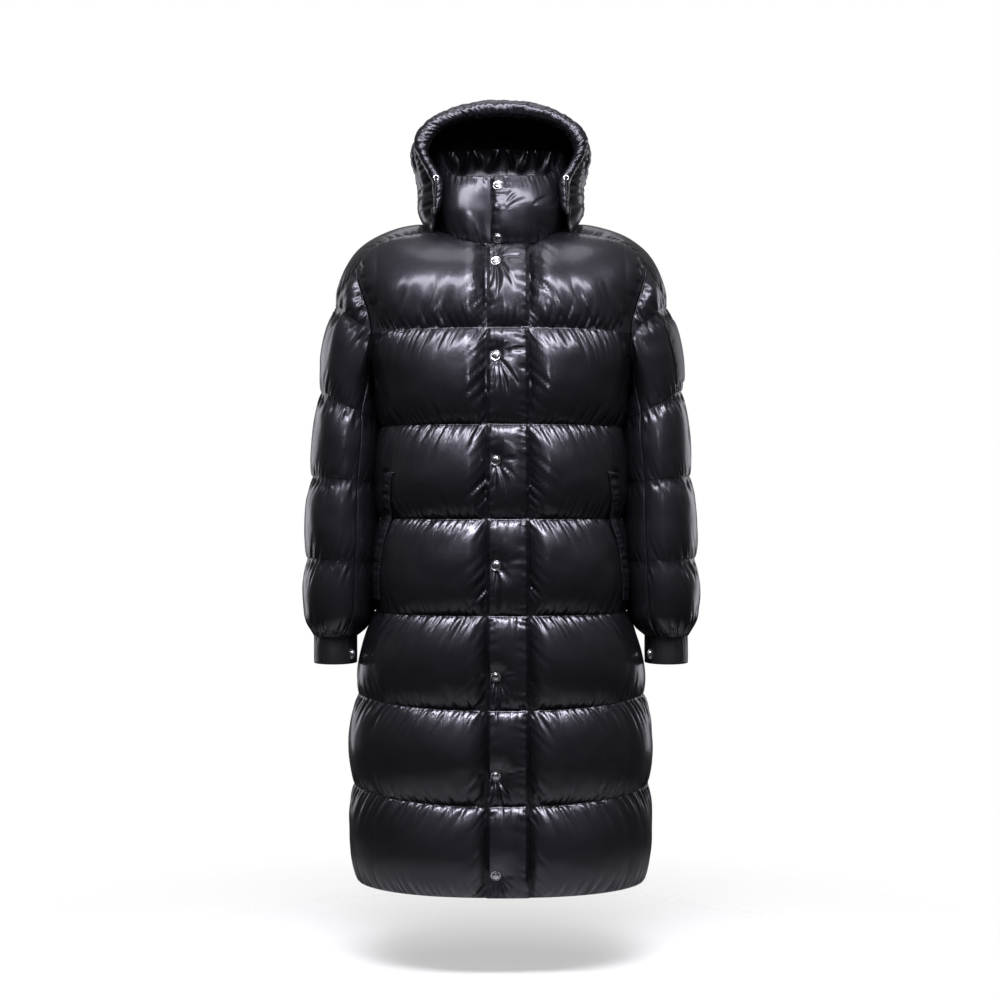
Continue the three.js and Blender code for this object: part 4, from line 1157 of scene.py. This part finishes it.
# u, arch, toU, toArch, depth, width: soft folds on the hood's walls, u in mm from the crown
hoodCreases = [
    (150, 8, 215, 26, 3.0, 6.0),
    (175, 20, 250, 30, 3.4, 6.5),
    (120, 44, 190, 60, 2.6, 7.0),
    (205, 55, 262, 70, 3.0, 6.0),
    (60, 90, 140, 104, 2.2, 8.0),
    (230, 96, 180, 120, 2.6, 7.0),
]


def hoodPoint(arch, along):
    row = rowAt(hoodArches, arch)
    side = np.where(along < 0, -1.0, 1.0)
    turn = np.clip(np.abs(along) / hood["crownShare"], 0, 1) * math.pi / 2
    s, c = np.sin(turn), np.cos(turn)
    over = vec(side * row[..., 6] * s, lerp(row[..., 7], row[..., 9], c), lerp(row[..., 8], row[..., 10], c))
    down = np.clip((np.abs(along) - hood["crownShare"]) / (1 - hood["crownShare"]), 0, 1)
    toWaist = smooth(0, 0.55, down)
    toFoot = np.clip((down - 0.4) / 0.6, 0, 1) ** 8
    x = lerp(lerp(row[..., 6], row[..., 4], toWaist), row[..., 1], toFoot)
    y = lerp(lerp(row[..., 7], row[..., 5], toWaist), row[..., 2], toFoot)
    below = vec(side * x, y, lerp(row[..., 8], row[..., 3], down))
    return np.where((np.abs(along) <= hood["crownShare"])[..., None], over, below)


def makeHood():
    rows = channelRows(0, 3, hood["rows"]) * 2
    row = rows[:, None]
    along = np.linspace(-1, 1, hood["columns"])[None, :]
    p = hoodPoint(row + 0 * along, along + 0 * row)
    channel, t, fromFront, fromBack = lineDistances(p, rows, 2)
    u = along * hood["around"] / 2 + 0 * t
    fromFoot = 1 - np.abs(along)
    atFoot = smooth(0, hood["foot"], fromFoot)
    height = puff["hood"] * lerp(hood["leastDown"], 1, fullness(t)) * atFoot * (1 - smooth(5.6, 6, row))
    archRun = row * hood["archSpacing"] + 0 * u
    cut = gathers(u, fromFront, 420 + channel, *hood["frontGathers"])
    cut = cut + gathers(u, fromBack, 430 + channel, *hood["backGathers"])
    cut = cut + creases(np.abs(u), archRun, hoodCreases)
    height = height - cut * smooth(0.0, 0.08, fromFoot) + lumps(p, *hood["lump"]) * fullness(t) * atFoot
    p = p - vec(0, 0, hood["footDrop"] * (1 - atFoot) * (1 - smooth(3, 5, row)))
    n = gridNormals(p, p - (0, 0, 60))
    dent = (lumps(p, *hood["insideLump"]) + gathers(0.6 * u, archRun, 425, *hood["insideGathers"])) * atFoot
    outer, inner = lifted(p, n, np.maximum(height, -1.0)), lifted(p, n, -wall - np.maximum(dent, 0))
    paddedPiece("hood", outer, inner, seamAt(u, fromFront, fromBack), (2, 2))


def makeBrim():
    along = brim["end"] * np.linspace(-1, 1, brim["steps"])
    p = hoodPoint(0 * along, along)
    narrow = lerp(1, brim["sideShare"], smooth(0.5, 0.78, np.abs(along)))
    halfHeight = brim["halfHeight"] * narrow
    halfDepth = brim["halfDepth"] * np.minimum(1, narrow * 1.3)
    inwards = unit(vec(-p[:, 0], 0, brim["middleZ"] - p[:, 2]))
    flatHalf = halfDepth * math.cos(math.pi / brim["sides"])
    centre = p + inwards * brim["inset"] - vec(0, flatHalf + brim["gap"], 0)
    turn = np.linspace(0, 2 * math.pi, brim["round"], endpoint=False)[None, :]
    run = runAlong(centre)[:, None]
    # a stitched line runs round the inner side of the roll, and another where it meets the hood
    size, away = 1.0, {}
    for name in ("hoodLine", "innerLine"):
        middle, share, line = brim[name]
        away[name] = turnFrom(middle, turn, 2 * math.pi) * brim["radius"]
        size = size - share * gathers(brim["stretch"] * run, away[name], *line)
    dent, width = brim["innerDent"]
    size = size - dent * np.exp(-((away["innerLine"] / width) ** 2))
    size = size + lumps(centre, *brim["sizeLump"])[:, None]
    outwards = -inwards[:, None, :] * (np.cos(turn) * halfHeight[:, None] * size)[..., None]
    points = centre[:, None, :] + outwards + vec(0, np.sin(turn) * halfDepth[:, None] * size, 0)
    bumps = sum(lumps(points, *row) for row in brim["lumps"])
    points = lifted(points, unit(points - centre[:, None, :]), bumps)
    rows, columns = points.shape[:2]
    faces = gridQuads(rows, columns, 0, True)
    faces.append(tuple(range(columns - 1, -1, -1)))
    faces.append(tuple(range((rows - 1) * columns, rows * columns)))
    seam = seamAt(run + 0 * turn, away["innerLine"], away["hoodLine"])
    item = makeMesh("hood_brim_roll", points.reshape(-1, 3), faces, seam.reshape(-1, 2))
    finishPiece(item, shellCloth, "shell", "hood_brim")


makeHood()
makeBrim()
print("hood and brim are made")

flap = {
    "rows": 46, "columns": 56, "above": 0.38, "fullness": 1.5,
    "edges": [(0, 0.08), (5, 0.7), (25.6, 1), (58, 0.7), (64, 0.08)],  # from the right edge, share
    # at the upper and lower stitched lines, and the right and left edges
    "gathers": [(0.1, 0.4, 0.5), (-0.1, 0.45, 0.6), (0.3, 0.6, 0.4), (0.3, 0.8, 0.5)], "lump": (1.3, 30, 8),
    "dent": 9.5, "dentRadius": 21, "deeperBelow": 0.7, "deepFrom": (-720, -560), "least": 0.2,
}
studRaySpread = {"angle": 8, "length": (0.6, 1.25), "depth": (0.6, 1.1), "start": 5}
# angle from the stud, length, depth and width of the creases that run out from it
studRays = [
    (-90, 74, 4.6, 2.2),
    (-77, 68, 4.4, 2.1),
    (-64, 60, 4.2, 2.1),
    (-51, 52, 3.8, 2.0),
    (-103, 64, 4.4, 2.1),
    (-117, 52, 3.8, 2.1),
    (-130, 34, 2.8, 1.8),
    (-38, 38, 2.6, 1.8),
    (-16, 30, 2.2, 1.9),
    (4, 50, 4.4, 2.0),
    (176, 15, 2.6, 1.9),
    (-158, 18, 2.4, 1.8),
    (36, 26, 2.2, 2.0),
    (62, 26, 2.0, 2.0),
    (88, 24, 2.0, 2.0),
    (112, 22, 1.8, 2.0),
    (136, 18, 1.8, 1.9),
]


def studCreases():
    vary = studRaySpread
    rows = []
    for x, z in studPlaces:
        for angle, length, depth, width in studRays:
            turned = math.radians(angle + chance.uniform(-vary["angle"], vary["angle"]))
            reach = length * chance.uniform(*vary["length"])
            c, s = math.cos(turned), math.sin(turned)
            near = (x + vary["start"] * c, z + vary["start"] * s)
            rows.append((*near, x + reach * c, z + reach * s, depth * chance.uniform(*vary["depth"]), width))
    return rows


def makeFlap():
    lines = channelRows(0, 7, flap["rows"])
    s = np.linspace(0, 1, flap["columns"])
    xs = lerp(flapRightEdge, flapLeftEdge, lerp(s * s * (3 - 2 * s), s, 0.5))[None, :]
    p, _ = frontPoint(lines[:, None], x=np.abs(xs))
    p = p * vec(np.sign(xs), 1, 1)
    x, z = p[..., 0], p[..., 2]
    channel, t, fromLow, fromHigh = lineDistances(p, lines)
    u = xs + 0 * t
    fromRight, fromLeft = u - flapRightEdge, flapLeftEdge - u
    profile = np.interp(xs - flapRightEdge, *zip(*flap["edges"]))
    height = flap["fullness"] * puff["flap"] * fullness(t, flap["above"]) * profile**0.6
    edges = [(u, fromHigh, 460 + channel), (u, fromLow, 470 + channel)]
    edges += [(-z, fromRight, 480), (-z, fromLeft, 481)]
    for line, sizes in zip(edges, flap["gathers"]):
        height = height - gathers(*line, *sizes)
    height = height + lumps(p, *flap["lump"]) * fullness(t)
    for studX, studZ in studPlaces:
        away = np.hypot(x - studX, z - studZ)
        depth = flap["dent"] * (1 + flap["deeperBelow"] * (1 - smooth(*flap["deepFrom"], studZ)))
        height = height - depth * np.exp(-((away / flap["dentRadius"]) ** 1.6))
    height = np.maximum(height - creases(x, z, studCreases()), flap["least"])
    n = gridNormals(p, 0 * p + (0, -1, 0.3))
    outer = lifted(p, n, flapLift + flapWall + height)
    paddedPiece("storm_flap", outer, p + n * flapLift, seamAt(u, fromLow, fromHigh), (4, 6))
    return outer


flapOuter = makeFlap()
print("storm flap is made")

welt = {
    "width": 14, "thickness": 2, "lift": 0.3, "rows": 90, "columns": 14,
    "near": (5, 7),  # how far aside and up or down the cloth below is looked for
    "rise": (2.6, 6), "gathers": (0.3, 0.5, 0.4), "sewnGathers": (0.6, 0.6, 0.4), "sewnFrom": (0.62, 0.72),
    "bump": (0.6, 7), "sewnRise": 1.2, "least": -0.8,
}


# The highest place of the cloth within a few millimetres of each point, along its way out
def clothUnder(p, out, cloth):
    low, high = p[..., 2].min() - 80, p[..., 2].max() + 80
    cloth = cloth[(cloth[:, 2] > low) & (cloth[:, 2] < high) & (cloth[:, 0] > 120) & (cloth[:, 1] < -20)]
    lift = np.empty(p.shape[:2])
    besideReach, heightReach = welt["near"]
    for place in np.ndindex(*lift.shape):
        near = cloth[np.abs(cloth[:, 2] - p[place][2]) < heightReach] - p[place]
        near = near[np.abs(near @ np.array([-out[place][1], out[place][0], 0])) < besideReach]
        lift[place] = (near @ out[place]).max() if len(near) else 6.0
    return blur(lift[..., None], 6)[..., 0]


def makeWelt(sideName, side, seed, frontOuter):
    lines = np.linspace(pocketSlit["bottomLine"], pocketSlit["topLine"], welt["rows"])
    across = np.linspace(0, 1, welt["columns"])[None, :]
    p, _ = frontPoint(lines[:, None], x=slitX(lines) - welt["width"] * across)
    out = unit(vec(p[..., 0] * 0.9, p[..., 1] * 1.1, 0))
    lift = clothUnder(p, out, frontOuter.reshape(-1, 3) * (side, 1, 1)) + welt["lift"]
    fromEdge = np.minimum(across, 1 - across) * welt["width"] + 0 * lift
    run = -p[..., 2]
    # the lower part is sewn down, with small puckers
    bumps = gathers(1.3 * run, fromEdge, seed + 1, *welt["sewnGathers"]) + lumps(p, *welt["bump"], seed)
    sewn = smooth(*welt["sewnFrom"], np.linspace(0, 1, welt["rows"]))[:, None]
    rise, reach = welt["rise"]
    raised = rise * swell(fromEdge, reach) - gathers(run, fromEdge, seed, *welt["gathers"])
    raised = np.maximum(raised - sewn * (bumps - welt["sewnRise"]), welt["least"])
    p, out = p * (side, 1, 1), out * (side, 1, 1)
    upper = lifted(p, out, lift + welt["thickness"] + raised)
    name = "pocket_welt_" + sideName
    item = makeWall(name + "_strip", upper, lifted(p, out, lift), seamAt(run, fromEdge, fromEdge), (2, 2))
    finishPiece(item, shellCloth, "shell", name)


makeWelt("right", -1, 500, frontRightOuter)
makeWelt("left", 1, 510, frontLeftOuter)
print("pocket welts are made")

patch = {
    "turns": (-20, 50), "lines": (1.12, 1.93), "width": 76, "height": 95, "thickness": 1.5, "lift": 0.6,
    "rise": (0.9, 6), "least": -0.9, "sideGathers": (520, 0.1, 0.35, 0.35),
    "endGathers": (521, 0.1, 0.35, 0.35),
}


# The places in a row of values that lie within two limits
def within(values, low, high):
    return np.flatnonzero((values >= low) & (values <= high))


def makePatch(turns, lines, outer, n):
    cell = np.ix_(within(lines, *patch["lines"]), within(turns, *patch["turns"]))
    p, n = blur(outer[cell], 14), blur(n[cell], 6)
    rows, columns = p.shape[:2]
    s = np.linspace(0, 1, columns)[None, :] + np.zeros((rows, 1))
    r = np.linspace(0, 1, rows)[:, None] + np.zeros((1, columns))
    fromSide = np.minimum(s, 1 - s) * patch["width"]
    fromEnd = np.minimum(r, 1 - r) * patch["height"]
    down, over = r * patch["height"], s * patch["width"]
    pucker = gathers(down, fromSide, *patch["sideGathers"]) + gathers(over, fromEnd, *patch["endGathers"])
    rise, reach = patch["rise"]
    raised = rise * np.clip(np.minimum(fromSide, fromEnd) / reach, 0, 1) ** 0.5 - pucker
    upper = lifted(p, n, patch["lift"] + patch["thickness"] + np.maximum(raised, patch["least"]))
    lower = p + n * patch["lift"]
    item = makeWall("sleeve_patch_cloth", upper, lower, seamAt(down, fromSide, fromEnd), (2, 2))
    finishPiece(item, trimCloth, "trim", "sleeve_patch")


makePatch(*leftUpper)
print("sleeve patch is made")


# Hard pieces are modelled once at the origin, facing up, and copied
def editPick(item, test):
    bpy.ops.mesh.select_mode(type="FACE")
    bpy.ops.mesh.select_all(action="DESELECT")
    work = bmesh.from_edit_mesh(item.data)
    for face in work.faces:
        face.select_set(bool(test(face)))
    bmesh.update_edit_mesh(item.data)


def finishHard(item):
    for modifier in list(item.modifiers):
        bpy.ops.object.modifier_apply(modifier=modifier.name)
    bpy.ops.object.shade_smooth()
    return item


def extrudeCap(rise, size=1):
    bpy.ops.mesh.extrude_region_move(TRANSFORM_OT_translate={"value": (0, 0, rise * mm)})
    bpy.ops.transform.resize(value=(size, size, 1), center_override=(0, 0, 0))


stud = {
    "radius": 8, "rim": 1.4, "edge": 0.5, "step": (1.3, -0.5), "gap": 0.3,
    "dome": [(1.1, 0.94), (0.9, 0.8), (0.5, 0.55)], "cuffLift": 1.2, "cuffTurn": 0.35, "seatReach": 7,
}


def makeStud():
    deselect()
    bpy.ops.mesh.primitive_cylinder_add(
        vertices=40,
        radius=stud["radius"] * mm,
        depth=stud["rim"] * mm,
        location=(0, 0, stud["rim"] / 2 * mm),
    )
    item = bpy.context.object
    bpy.ops.object.transform_apply(location=True)
    bpy.ops.object.mode_set(mode="EDIT")
    editPick(item, lambda face: face.normal.z > 0.9)
    bpy.ops.mesh.inset(thickness=stud["edge"] * mm)
    width, depth = stud["step"]
    bpy.ops.mesh.inset(thickness=width * mm, depth=depth * mm)
    bpy.ops.mesh.inset(thickness=stud["gap"] * mm)
    for rise, size in stud["dome"]:
        extrudeCap(rise, size)
    bpy.ops.object.mode_set(mode="OBJECT")
    item.modifiers.new("soften", "SUBSURF").levels = 2
    return finishHard(item)


eyelet = {"major": 3.6, "minor": 1.25, "flatten": 0.62}


def makeEyelet():
    deselect()
    bpy.ops.mesh.primitive_torus_add(
        major_radius=eyelet["major"] * mm,
        minor_radius=eyelet["minor"] * mm,
        major_segments=44,
        minor_segments=16,
    )
    item = bpy.context.object
    bpy.ops.object.mode_set(mode="EDIT")
    bpy.ops.mesh.select_all(action="SELECT")
    bpy.ops.transform.resize(value=(1, 1, eyelet["flatten"]), center_override=(0, 0, 0))
    bpy.ops.object.mode_set(mode="OBJECT")
    return finishHard(item)


stopper = {
    "radius": 4.23, "length": 8.6, "shoulder": (0.7, 0.9), "topInset": 0.8, "lowInset": 0.9, "tip": 1.2,
    "bevel": 0.4,
}


def makeStopper():
    deselect()
    bpy.ops.mesh.primitive_cylinder_add(
        vertices=32, radius=stopper["radius"] * mm, depth=stopper["length"] * mm
    )
    item = bpy.context.object
    bpy.ops.object.mode_set(mode="EDIT")
    editPick(item, lambda face: abs(face.normal.z) > 0.9)
    width, depth = stopper["shoulder"]
    bpy.ops.mesh.inset(thickness=width * mm, depth=depth * mm)
    for way, inset in ((1, stopper["topInset"]), (-1, stopper["lowInset"])):
        editPick(item, lambda face: way * face.normal.z > 0.9)
        bpy.ops.mesh.inset(thickness=inset * mm)
        extrudeCap(way * stopper["tip"])
    bpy.ops.object.mode_set(mode="OBJECT")
    bevel = item.modifiers.new("edges", "BEVEL")
    bevel.width = stopper["bevel"] * mm
    bevel.segments = 3
    return finishHard(item)


def placeCopy(model, node, ending, place, facing, material, slot):
    item = addObject(node + ending, model.data.copy())
    turn = Vector(facing).to_track_quat("Z", "Y").to_matrix().to_4x4()
    item.data.transform(Matrix.Translation(Vector(place) * mm) @ turn)
    return finishPiece(item, material, slot, node)


def placeStud(node, place, facing):
    placeCopy(studModel, node, "_cap", place, facing, studMetal, "metal")


# The cloth's place and direction out at a stud, from the outer points around it
def seat(outer, x, z):
    flat = outer.reshape(-1, 3)
    near = flat[(np.hypot(flat[:, 0] - x, flat[:, 2] - z) < stud["seatReach"]) & (flat[:, 1] < 0)]
    sides = np.column_stack([near[:, 0] - x, near[:, 2] - z, np.ones(len(near))])
    a, b, y = np.linalg.lstsq(sides, near[:, 1], rcond=None)[0]
    return (x, y, z), tuple(unit(np.array([a, -1.0, b])))


def centreOf(node):
    low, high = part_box(node)
    return [(a + b) / 2 / mm for a, b in zip(low, high)]


# The drawcord's end hangs from the brim's casing at each side, as part.mjs has it
drawcord = {
    "radius": 1.5, "route": [(101, -91.4, 77), (101, -91.9, 66), (102.5, -91.8, 48), (104, -91.6, 31)],
    "steps": 22,
}


def makeCord(side, sideName):
    route = np.array(drawcord["route"], float) * (side, 1, 1)
    keys = runAlong(route)
    path = rowAt(np.column_stack([keys, route]), np.linspace(0, keys[-1], drawcord["steps"]))[:, 1:]
    data = bpy.data.curves.new("drawcord_" + sideName, "CURVE")
    data.dimensions = "3D"
    data.bevel_depth = drawcord["radius"] * mm
    data.bevel_resolution = 4
    data.use_fill_caps = True
    line = data.splines.new("POLY")
    line.points.add(len(path) - 1)
    for point, p in zip(line.points, path * mm):
        point.co = (*p, 1)
    item = addObject(data.name, data)
    finishPiece(item, cordCloth, "cord", "drawcord_" + sideName)
    tuple(path[0] * mm)
    round(runAlong(path)[-1] * mm, 4)


studModel = makeStud()
for k, (x, z) in enumerate(studPlaces):
    placeStud(f"stud_flap_{k + 1}", *seat(flapOuter, x, z))
for node in ("stud_collar_top", "stud_collar_base"):
    x, _, z = centreOf(node)
    placeStud(node, *seat(collarOuter[:, :60], x, z))
sides = (("right", -1), ("left", 1))
for sideName, side in sides:
    node = "stud_cuff_" + sideName
    x, y, z = centreOf(node)
    placeStud(node, (x, y + stud["cuffLift"], z), (side * stud["cuffTurn"], -1, 0))
eyeletModel = makeEyelet()
stopperModel = makeStopper()
for sideName, side in sides:
    node = "eyelet_" + sideName
    placeCopy(eyeletModel, node, "_ring", centreOf(node), (0, -1, 0), studMetal, "metal")
    node = "cord_stopper_" + sideName
    held = placeCopy(stopperModel, node, "_body", centreOf(node), (0, 0, 1), stopperPlastic, "trim")
    makeCord(side, sideName)
for model in (studModel, eyeletModel, stopperModel):
    bpy.data.objects.remove(model)
print("studs, eyelets and cords are made")
